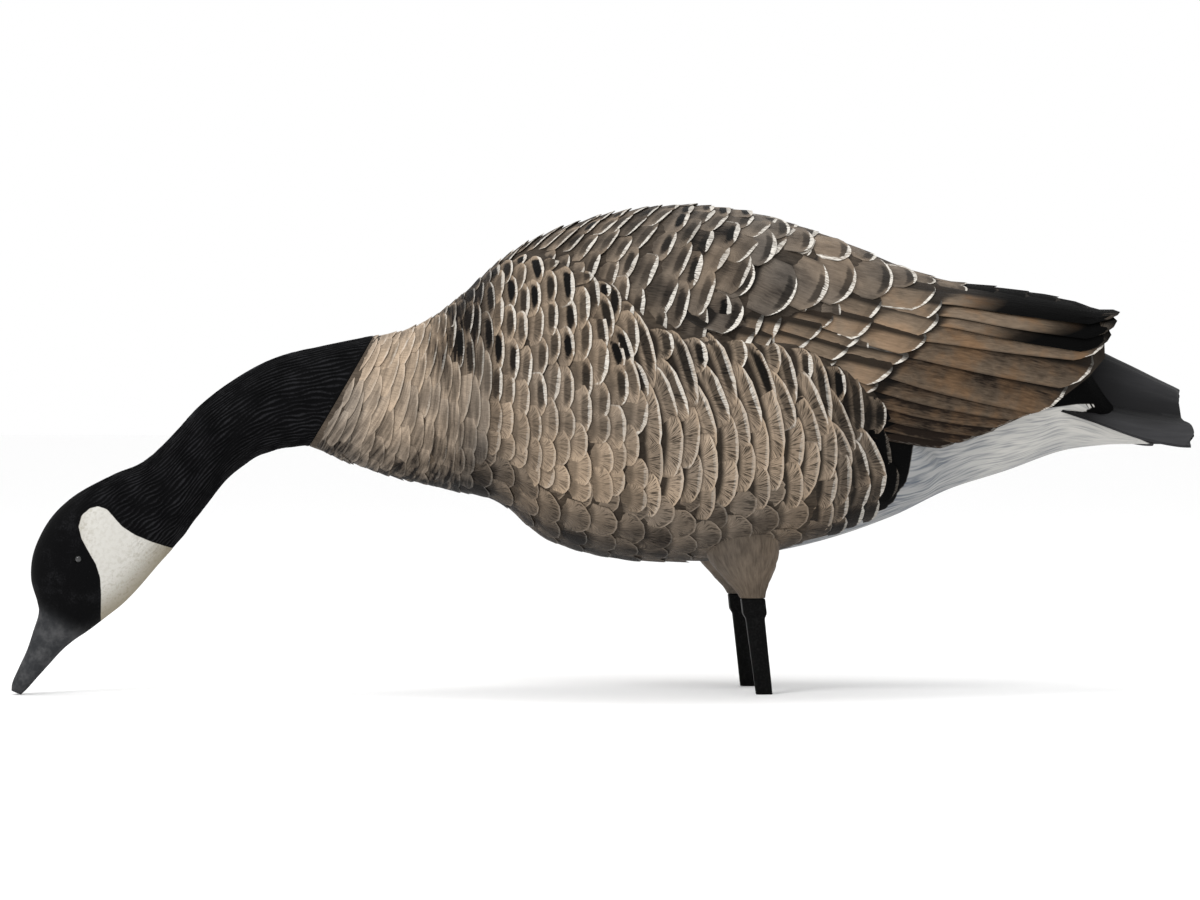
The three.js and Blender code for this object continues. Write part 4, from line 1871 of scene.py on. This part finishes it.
    def lay_feather(self, row: Row, feathers: Feathers, look: Plumage, turn: float,
                    wide: float) -> None:
        """Lays one feather of a row, where the row has one.

        Args:
            row: The row.
            feathers: Takes the feather.
            look: The feather group's size and paint.
            turn: Share of the half turn from the back.
            wide: Its share of the row in metres.
        """
        p = row.place(turn)
        border = float(row.skin.flank_border(np.array(p)))
        in_middle = abs(turn) < 1e-9
        if (in_middle and row.side == 1) or not row.holds(p, turn, border):
            return
        ahead = row.place(turn + 0.01)
        slope = (ahead - p) / (0.01 * math.pi) * row.side
        jitter = self.chance.normal(0, 1, 7)
        group = row.group(p)
        loose = self.side_breast_scatter if group is Tract.SIDE_BREAST else 1.0
        place = (
            p + self.scatter_along * loose * jitter[0],
            row.side * (turn + self.scatter_across * loose * jitter[1]) * math.pi,
        )
        size = (
            row.shown * row.layer.value.overlap * (1 + self.scatter_length * jitter[3]),
            wide * self.widening * (1 + self.scatter_width * jitter[6]),
            row.shown,
        )
        ink, ground, black = row.paint(look, p, turn, border, jitter[5])
        uneven = max(0.3, 1 - 0.2 * abs(jitter[6]))
        ink = (ink[0], ink[1] * uneven, ink[2] * max(0.2, 1 + 0.3 * jitter[2]))
        breast = 1 - float(smooth(2.6, 4.2, p)) if row.layer is Layer.SIDE else 0.0
        low = float(smooth(0.65, 0.95, turn))
        calm = 1.0 if group is Tract.FLANK else 0.55
        grain = (calm - 0.1 * breast, 0.95 * breast, 0.16 * calm * (1 - low) * (1 - breast))
        rise = (0.9 - 0.5 * breast) * (1 - 0.4 * low) + self.scatter_rise * jitter[4]
        if row.layer is Layer.BACK:
            rise *= 1 - 0.5 * float(smooth(8.0, 8.6, p))
        if row.layer is Layer.BELLY:
            # The uppermost ones stay under the ends of the flank's rows.
            end = float(np.interp(p, FLANK_END[:, 0], FLANK_END[:, 1]))
            rise *= 0.15 + 0.85 * float(smooth(end - 0.02, end + 0.06, turn))
        seed = float(self.chance.random())
        turned = self.scatter_turn * jitter[2]
        feathers.append(Feather(place, size, ink, ground, seed, slope, turned, rise, black, grain))

    def build_wings(self) -> int:
        """Adds the folded wings with their coverts and long feathers.

        Returns:
            How many feathers were laid.
        """
        places = np.linspace(WING_START, WING[-1, 0], self.wing_rings)
        low = WingSkin.angle_at(places, np.interp(places, WING[:, 0], WING[:, 4]))
        share = np.arange(-self.wing_columns, self.wing_columns + 1) / self.wing_columns
        q = low[:, None] * share[None, :]
        p = np.broadcast_to(places[:, None], q.shape)
        lift = -self.wing_groove * np.exp(-(share * 14) ** 2)
        lift = lift - np.where(p <= WING_START + 1, self.wing_front_drop, 0.0)
        shell = WingSkin(1).at(p, np.abs(q), lift)
        shell[..., 1] *= np.sign(share)[None, :]
        points, faces = closed_loft(shell)
        # The shell shows only in the gaps between the wing's feathers and the tail, and is painted dark
        # there as shade.
        self.parts.add(points, faces, {"mark": np.tile((0.0, 0.6, 0.0), (len(points), 1))})
        laid = 0
        for side in (-1, 1):
            skin = WingSkin(side)
            laid += self.lay_quills(skin)
            laid += self.lay_coverts(skin)
            laid += self.lay_scapulars(skin)
            laid += self.lay_top(skin)
        return laid

    def lay_quills(self, skin: WingSkin) -> int:
        """Lays the long feathers of one wing.

        Args:
            skin: The wing.

        Returns:
            How many were laid.
        """
        quills = Feathers()
        for k, (root_a, root_u, tip_a, tip_u, width) in enumerate(QUILLS):
            run = math.hypot(tip_a - root_a, tip_u - root_u) * PER_MILLE + self.hidden_root
            quills.append(Feather(
                (tip_a, tip_u), (run, width * PER_MILLE * self.quill_overlap, run * 0.8),
                (2.4, 0.95 if k in TIPPED_QUILLS else 0.15, 0.0),
                (0.32 - 0.038 * k, 0.95, 0.1), 0.1 + 0.07 * k,
                turn=math.atan2(root_u - tip_u, tip_a - root_a),
                black=QUILL_BLACK[k] if k < len(QUILL_BLACK) else NEVER_BLACK,
            ))
        QUILL_FORM.lay_in_view(skin, quills, self.parts)
        return len(quills)

    def lay_coverts(self, skin: WingSkin) -> int:
        """Lays the rows of coverts of one wing.

        Args:
            skin: The wing.

        Returns:
            How many were laid.
        """
        slope = math.radians(self.covert_slope)
        laid = Feathers()
        for row in COVERT_ROWS:
            for (ax, ay), (bx, by) in zip(row.corners, row.corners[1:]):
                across = abs((by - ay) * math.cos(slope) + (bx - ax) * math.sin(slope))
                wide = (across + self.covert_overlap) * 1.5
                jitter = self.chance.normal(0, 1, 3)
                laid.append(Feather(
                    skin.seen_at((ax + bx) / 2 + 5, (ay + by) / 2 - 1),
                    tuple(part * PHOTO_SCALE for part in (row.shown * row.reach, wide, row.shown)),
                    (2.8, 1.0, 0.2), (0.35 + 0.05 * jitter[0], 0.85, 0.25),
                    float(self.chance.random()),
                    turn=math.radians(self.covert_slope + 2 * jitter[1]),
                    rise=1.0 + 0.08 * jitter[2],
                ))
        COVERT_FORM.lay_in_view(skin, laid, self.parts)
        return len(laid)

    def lay_scapulars(self, skin: WingSkin) -> int:
        """Lays the large scapulars of one wing.

        Args:
            skin: The wing.

        Returns:
            How many were laid.
        """
        laid = Feathers()
        for spot in SCAPULARS:
            laid.append(Feather(
                skin.seen_at(*spot.tip),
                tuple(part * PHOTO_SCALE for part in (spot.length, spot.width, spot.shown)),
                (2.9, 1.0, 0.75), (spot.tone, spot.warmth, 0.15),
                float(self.chance.random()), turn=math.radians(spot.slope), rise=1.2,
            ))
        SCAPULAR_FORM.lay_in_view(skin, laid, self.parts)
        return len(laid)

    def lay_top(self, skin: WingSkin) -> int:
        """Lays the feathers over the middle of the rump, on one wing's side.

        Args:
            skin: The wing.

        Returns:
            How many were laid.
        """
        laid = Feathers()
        for number, columns in enumerate(TOP_COLUMNS):
            along = self.top_start + self.top_pitch * number
            late = number >= TOP_BLACK_ROW
            for column in range(columns):
                jitter = self.chance.normal(0, 1, 2)
                stagger = self.top_stagger * ((number + 1) % 2)
                angle = self.top_angle + self.top_turn * column + stagger + 0.012 * jitter[0]
                laid.append(Feather(
                    (along - self.top_slant * column, angle), self.top_feather,
                    (1.5, 0.15 if late else 0.85, 0.4), (0.2 if late else 0.28, 0.6, 0.3),
                    float(self.chance.random()), turn=0.03 * jitter[1], rise=0.35,
                    black=0.3 if late else NEVER_BLACK,
                ))
        SCAPULAR_FORM.lay(skin, laid, self.parts)
        return len(laid)

    def build_tail(self) -> None:
        """Adds the two-lobed tail fan."""
        crease_at = self.tail_crease
        profile = np.unique(np.concatenate([np.linspace(0, 1, 41), (0.45, 0.55)]))
        v = np.concatenate([-profile[:0:-1], profile])
        w = np.abs(v)
        feather = (w * self.tail_feathers) % 1
        scallop = 8.0 * np.where(w <= crease_at, smooth(0, 0.5, w), 1 - smooth(0.5, 0.66, w))
        scallop = scallop + 9 * smooth(0.8, 1, w) + 0.6 * np.abs(2 * feather - 1) ** 2
        rings = []
        for s in np.linspace(0, len(TAIL) - 1, self.tail_rings):
            along, ridge, crease, edge, spread = read_curve(TAIL, np.array(s))
            inner = ridge - (ridge - crease) * (w / crease_at) ** 2
            outer = crease - (crease - edge) * (np.maximum(w - crease_at, 0) / crease_at) ** 1.4
            up = np.where(w <= crease_at, inner, outer) - 0.9 * (feather - 0.5)
            late = smooth(len(TAIL) - 1.5, len(TAIL) - 1, s)
            x = (along - scallop * late) * PER_MILLE
            upper = np.stack([x, v * TAIL_SPREAD / 2 * spread, up * PER_MILLE], axis=-1)
            thick = TAIL_THICKNESS * (1 - 0.72 * smooth(0.55, 1.0, w)) * (1 - 0.4 * late)
            under = (upper - np.stack([0 * w, 0 * w, thick], axis=-1))[::-1]
            rings.append(np.concatenate([upper, under]))
        points, faces = closed_loft(np.array(rings))
        w = np.abs(points[:, 1]) / (TAIL_SPREAD / 2)
        # Painted light on the tail: lighter on the tops of its two lobes, darker in the crease and under
        # the wings towards its root.
        light = 0.55 * np.exp(-((w - 0.25) / 0.16) ** 2) + smooth(0.52, 0.75, w)
        light *= smooth(400, 450, points[:, 0] / PER_MILLE)
        ground = np.stack([light, 0 * light, 0 * light], axis=-1)
        self.parts.add(points, faces, {"ground": ground}, finish=1)

    def build_thighs(self) -> None:
        """Adds the two thigh stubs over the legs."""
        rows = read_curve(THIGH, np.linspace(0, len(THIGH) - 1, self.thigh_rings))
        angle = np.arange(self.thigh_sides) / self.thigh_sides * 2 * math.pi
        end_x = LEG_WIDTH / 2 + COLLAR_LIP + self.thigh_rim
        end_y = LEG_THICKNESS / 2 + COLLAR_LIP + self.thigh_rim
        half_x = end_x + (self.thigh_along - end_x) * rows[:, 2]
        half_y = end_y + (self.thigh_across - end_y) * rows[:, 2]
        folds = self.thigh_fold * np.sin(11 * angle + 2.0 * np.sin(rows[:, 1, None] * 0.2))
        folds = folds * smooth(0.0, 0.2, rows[:, 2])[:, None]
        x = rows[:, 0, None] * PER_MILLE + (half_x[:, None] + folds) * np.cos(angle)
        z = np.broadcast_to(rows[:, 1, None] * PER_MILLE, x.shape)
        for side in (-1, 1):
            y = side * LEG_SPACING / 2 + (half_y[:, None] + folds) * np.sin(angle)
            points, faces = closed_loft(np.stack([x, y, z], axis=-1))
            ground = np.tile((0.33, 0.6, 0.2), (len(points), 1))
            run = np.full((len(points), 3), FAR)
            run[:x.size, 0] = (z / MM).ravel()
            run[:x.size, 1] = np.broadcast_to(angle * 14, x.shape).ravel()
            self.parts.add(points, faces, {"ground": ground, "feather": run})

    def build(self) -> bpy.types.Object:
        """Makes the body.

        Returns:
            The piece.
        """
        self.build_core(TorsoSkin(FLANK_LIP))
        laid = self.lay_rows(Layer.BACK, TorsoSkin(0.0))
        laid += self.lay_rows(Layer.BELLY, TorsoSkin(0.0))
        laid += self.lay_rows(Layer.SIDE, TorsoSkin(FLANK_LIP))
        laid += self.build_wings()
        self.build_tail()
        self.build_thighs()
        LOG.info("body: %d feathers", laid)
        return self.parts.to_object("painted_body")

    def dress(self, piece: bpy.types.Object) -> None:
        """Paints the body and ties it to the frame.

        Args:
            piece: The body.
        """
        piece.data.materials.append(PaintedFeathers().make())
        piece.data.materials.append(DarkFeathers().make())
        smooth_faces(piece, 38)
        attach(piece, "root")
        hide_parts("body")


@dataclass
class HeadAndNeck:
    """The flocked head and neck with its bill and eyes.

    The eye's place is in thousandths of the length. Each of its domes has a radius and how far
    it stands out.
    """

    columns: int = 264
    rings: int = 250
    ridges: int = 68
    ridge_height: float = 0.6 * MM
    ridge_end: tuple[float, float] = (6.5, 8.5)
    bill_start: tuple[float, float] = (11.6, 13.5)
    eye: tuple[float, float] = (-442.7, 115.1)
    eye_domes: tuple[tuple[float, float], ...] = ((5 * MM, 1.2 * MM), (2.6 * MM, 2.0 * MM))
    eye_columns: int = 48
    eye_rings: int = 24
    eye_search: int = 2000
    parts: MeshParts = field(default_factory=MeshParts)

    def rows(self) -> np.ndarray:
        """Section table, starting at the joint face.

        Returns:
            The table.
        """
        top = TORSO[0, 0:2]
        bottom = TORSO[0, 2:4]
        slope = math.atan2(top[1] - bottom[1], top[0] - bottom[0])
        shift = JOINT_GAP / PER_MILLE
        move = np.array([-math.sin(slope) * shift, math.cos(slope) * shift])
        share = TORSO[0, 4] * BODY_HALF / HEAD_HALF
        first = np.concatenate([top + move, bottom + move, [share]])
        return np.vstack([first, NECK])

    def ridge(self, p: np.ndarray, q: np.ndarray) -> np.ndarray:
        """Ridges along the neck that wander a little, before they fade out.

        Args:
            p: Station along the neck.
            q: Angle from its top.

        Returns:
            From -1 in a groove to 1 on a ridge.
        """
        wander = 1.6 * np.sin(1.9 * q + 1.3 * p) + 1.1 * np.sin(4.3 * q - 2.1 * p + 0.6)
        wander += 1.2 * np.sin(9.0 * q + 4.7 * p + 1.9) + 0.9 * np.sin(17.0 * q - 8.1 * p)
        return np.sin(self.ridges * q + wander)

    def build(self) -> bpy.types.Object:
        """Makes the head and neck.

        Returns:
            The piece.
        """
        rows = self.rows()
        stations = np.linspace(0, len(rows) - 1, self.rings)
        angles = np.arange(self.columns) / self.columns * 2 * math.pi
        p, q = np.meshgrid(stations, angles, indexing="ij")
        row = read_curve(rows, p)
        ridge = self.ridge(p, q)
        patchy = 0.5 + 0.5 * np.sin(5.3 * p + 7.0 * q + 2 * np.sin(3.1 * q))
        fade = (1 - smooth(*self.ridge_end, p)) * smooth(0, 0.15, p)
        lift = self.ridge_height * ridge * (0.45 + 0.55 * patchy) * fade
        lift -= self.ridge_height * smooth(0, 0.4, p) * fade
        points, faces = closed_loft(section_point(row, row[..., 4] * HEAD_HALF, q, lift))
        count = len(points)
        bill = np.ones(count)
        bill[:p.size] = smooth(*self.bill_start, p.ravel())
        bill[-2] = 0.0
        cheek = side_view_distance(points, CHEEK)
        throat = side_view_distance(points, THROAT)
        raised = np.zeros((count, 3))
        raised[:p.size, 0] = ridge.ravel() * fade.ravel()
        layers = {"mark": np.stack([cheek, bill, throat], axis=-1), "feather": raised}
        self.parts.add(points, faces, layers)
        self.build_eyes(rows)
        return self.parts.to_object("head_and_neck_flocked")

    def eye_out(self, rows: np.ndarray) -> float:
        """How far the head stands out at the eye.

        Args:
            rows: Section table of the head.

        Returns:
            Metres from the middle plane.
        """
        row = read_curve(rows, np.linspace(0, len(rows) - 1, self.eye_search))
        low = row[:, 2:4]
        chord = row[:, 0:2] - low
        length = np.linalg.norm(chord, axis=1)
        rel = np.array(self.eye) - low
        miss = np.abs(chord[:, 0] * rel[:, 1] - chord[:, 1] * rel[:, 0]) / length
        near = int(np.argmin(miss))
        to_top = float(chord[near] @ rel[near]) / length[near] ** 2
        return row[near, 4] * HEAD_HALF * math.sqrt(1 - (2 * to_top - 1) ** 2)

    def build_eyes(self, rows: np.ndarray) -> None:
        """Adds the two glossy eyes, each with its rim.

        Args:
            rows: Section table of the head.
        """
        out = self.eye_out(rows)
        angle = np.arange(self.eye_columns) / self.eye_columns * 2 * math.pi
        polar = np.linspace(0.02, math.pi - 0.02, self.eye_rings)[:, None]
        ring = np.stack([
            np.cos(polar) + 0 * angle, np.sin(polar) * np.cos(angle), np.sin(polar) * np.sin(angle),
        ], axis=-1)
        for side in (-1, 1):
            for finish, (radius, stands_out) in enumerate(self.eye_domes, start=1):
                depth = side * (out + stands_out - radius)
                centre = np.array([self.eye[0] * PER_MILLE, depth, self.eye[1] * PER_MILLE])
                points, faces = closed_loft(centre + radius * ring)
                self.parts.add(points, faces, {}, finish)

    def dress(self, piece: bpy.types.Object) -> None:
        """Flocks the piece, colours its eyes and ties it to the frame.

        Args:
            piece: The head and neck.
        """
        piece.data.materials.append(Flock().make())
        piece.data.materials.append(PlainPlastic("eye_rim", linear(6, 6, 6), 0.8, 1.1).make())
        piece.data.materials.append(PlainPlastic("eye_gloss", linear(30, 30, 30), 0.18, 1.6).make())
        smooth_faces(piece, 50)
        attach(piece, "root")
        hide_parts("head_and_neck")


@dataclass
class Leg:
    """A flat black bar with a collar that plugs into the thigh."""

    side: int
    spacing: float = LEG_SPACING
    splay: float = 8 * MM
    width: float = LEG_WIDTH
    thickness: float = LEG_THICKNESS
    chamfer: float = 2 * MM
    corner_points: int = 6
    rounding: float = 0.6 * MM
    collar_height: float = 11 * MM
    collar_lip: float = COLLAR_LIP
    collar_taper: float = 4 * MM
    foot_along: float = 132.7

    @property
    def node(self) -> str:
        """Name of the leg's solid."""
        return "leg_left" if self.side < 0 else "leg_right"

    def levels(self, thigh_up: float) -> list[tuple[float, float]]:
        """Heights of the leg's sections, from the top down.

        Args:
            thigh_up: Height of the thigh's end, in thousandths of the length.

        Returns:
            Each height, and how far the section stands out from the bar.
        """
        top = thigh_up - JOINT_GAP / PER_MILLE
        collar = top - self.collar_height / PER_MILLE
        taper = collar - self.collar_taper / PER_MILLE
        soft = self.rounding / PER_MILLE
        lip = self.collar_lip
        return [
            (top, lip - 0.5 * MM), (top - soft, lip), (collar + soft, lip),
            (collar - soft, lip * 0.85), (taper + soft, lip * 0.1), (taper - soft, 0.0),
            (taper * 0.5, -lip * 0.25), (soft, -lip / 2), (0.0, -lip / 2 - 0.3 * MM),
        ]

    def build(self) -> bpy.types.Object:
        """Makes the leg.

        Returns:
            The piece.
        """
        thigh_along, thigh_up = THIGH[-1, 0], THIGH[-1, 1]
        slope = (thigh_along - self.foot_along) / thigh_up
        rings = []
        for up, lip in self.levels(thigh_up):
            along = (self.foot_along + slope * up) * PER_MILLE
            y = self.side * (self.spacing / 2 + self.splay * (1 - up / thigh_up))
            reach_x = self.width / 2 + lip - self.chamfer
            reach_y = self.thickness / 2 + lip - self.chamfer
            ring = []
            for sx, sy, start in ((1, 1, 0), (-1, 1, 90), (-1, -1, 180), (1, -1, 270)):
                for turn in np.radians(np.linspace(start, start + 90, self.corner_points)):
                    ring.append((
                        along + sx * reach_x + self.chamfer * math.cos(turn),
                        y + sy * reach_y + self.chamfer * math.sin(turn),
                        up * PER_MILLE,
                    ))
            rings.append(ring)
        parts = MeshParts()
        points, faces = closed_loft(np.array(rings))
        parts.add(points, faces, {})
        return parts.to_object(self.node + "_bar")

    def dress(self, piece: bpy.types.Object) -> None:
        """Colours the leg and ties it to the frame.

        Args:
            piece: The leg.
        """
        piece.data.materials.append(PlainPlastic("leg_plastic", linear(7, 7, 7), 0.5, 1.12).make())
        smooth_faces(piece, 40)
        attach(piece, "root")
        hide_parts(self.node)


@dataclass(frozen=True)
class SoftLight:
    """A square lamp that looks at the decoy's middle."""

    name: str
    place: tuple[float, float, float]
    size: float
    power: float
    target: tuple[float, float, float] = (0.0, 0.0, 0.2)

    def build(self) -> None:
        """Hangs the lamp."""
        light = bpy.data.lights.new(self.name, "AREA")
        light.size = self.size
        light.energy = self.power
        holder = bpy.data.objects.new(self.name, light)
        holder.location = self.place
        aim = Vector(self.target) - Vector(self.place)
        holder.rotation_euler = aim.to_track_quat("-Z", "Y").to_euler()
        bpy.context.collection.objects.link(holder)


@dataclass
class Studio:
    """Floor, lights and camera."""

    distance: float = CAMERA_DISTANCE
    azimuth: float = CAMERA_AZIMUTH
    elevation: float = 0.6
    aim_along: float = -0.0013
    aim_up: float = 0.179
    frame_width: float = 0.8908
    sensor_width: float = 36.0
    floor_radius: float = 30.0
    floor_sides: int = 96
    floor_colour: Colour = (0.98, 0.98, 0.98, 1.0)

    def build(self) -> None:
        """Sets up everything round the object."""
        self.build_floor()
        self.build_world()
        SoftLight("key", (-1.6, -1.8, 2.2), 0.9, 34.0).build()
        SoftLight("top", (0.3, 0.2, 2.4), 1.2, 14.0).build()
        self.build_camera()
        bpy.context.scene.view_settings.view_transform = "Standard"

    def build_floor(self) -> None:
        """Makes a wide, pale, round floor."""
        turns = np.arange(self.floor_sides) / self.floor_sides * 2 * math.pi
        points = [(self.floor_radius * math.cos(t), self.floor_radius * math.sin(t), 0.0) for t in turns]
        mesh = bpy.data.meshes.new("floor")
        mesh.from_pydata(points, [], [list(range(self.floor_sides))])
        floor = bpy.data.objects.new("floor", mesh)
        bpy.context.collection.objects.link(floor)
        paint = Shader("floor_paint", 0.9, 1.5)
        paint.set("Base Color", self.floor_colour)
        mesh.materials.append(paint.material)

    @staticmethod
    def build_world() -> None:
        """Lights everything evenly in white."""
        world = bpy.data.worlds.new("studio")
        world.use_nodes = True
        world.node_tree.nodes["Background"].inputs["Color"].default_value = (1, 1, 1, 1)
        world.node_tree.nodes["Background"].inputs["Strength"].default_value = 1.0
        bpy.context.scene.world = world

    def build_camera(self) -> None:
        """Places the camera at the photograph's angle."""
        camera = bpy.data.cameras.new("camera")
        camera.sensor_width = self.sensor_width
        camera.lens = self.sensor_width * self.distance / self.frame_width
        camera.clip_end = self.floor_radius
        holder = bpy.data.objects.new("camera", camera)
        turn = math.radians(self.azimuth)
        rise = math.radians(self.elevation)
        level = math.cos(rise)
        back = Vector((math.sin(turn) * level, -math.cos(turn) * level, math.sin(rise)))
        holder.location = Vector((self.aim_along, 0, self.aim_up)) + back * self.distance
        holder.rotation_euler = (-back).to_track_quat("-Z", "Y").to_euler()
        bpy.context.collection.objects.link(holder)
        bpy.context.scene.camera = holder


def main() -> None:
    """Builds the decoy piece by piece."""
    logging.basicConfig(level=logging.INFO, format="%(name)s: %(message)s")
    makers = (Body(), HeadAndNeck(), Leg(-1), Leg(1))
    for maker in makers:
        piece = maker.build()
        maker.dress(piece)
        triangles = sum(len(face.vertices) - 2 for face in piece.data.polygons)
        LOG.info("%s: %d triangles", piece.name, triangles)
    Studio().build()


if __name__ == "__main__":
    main()
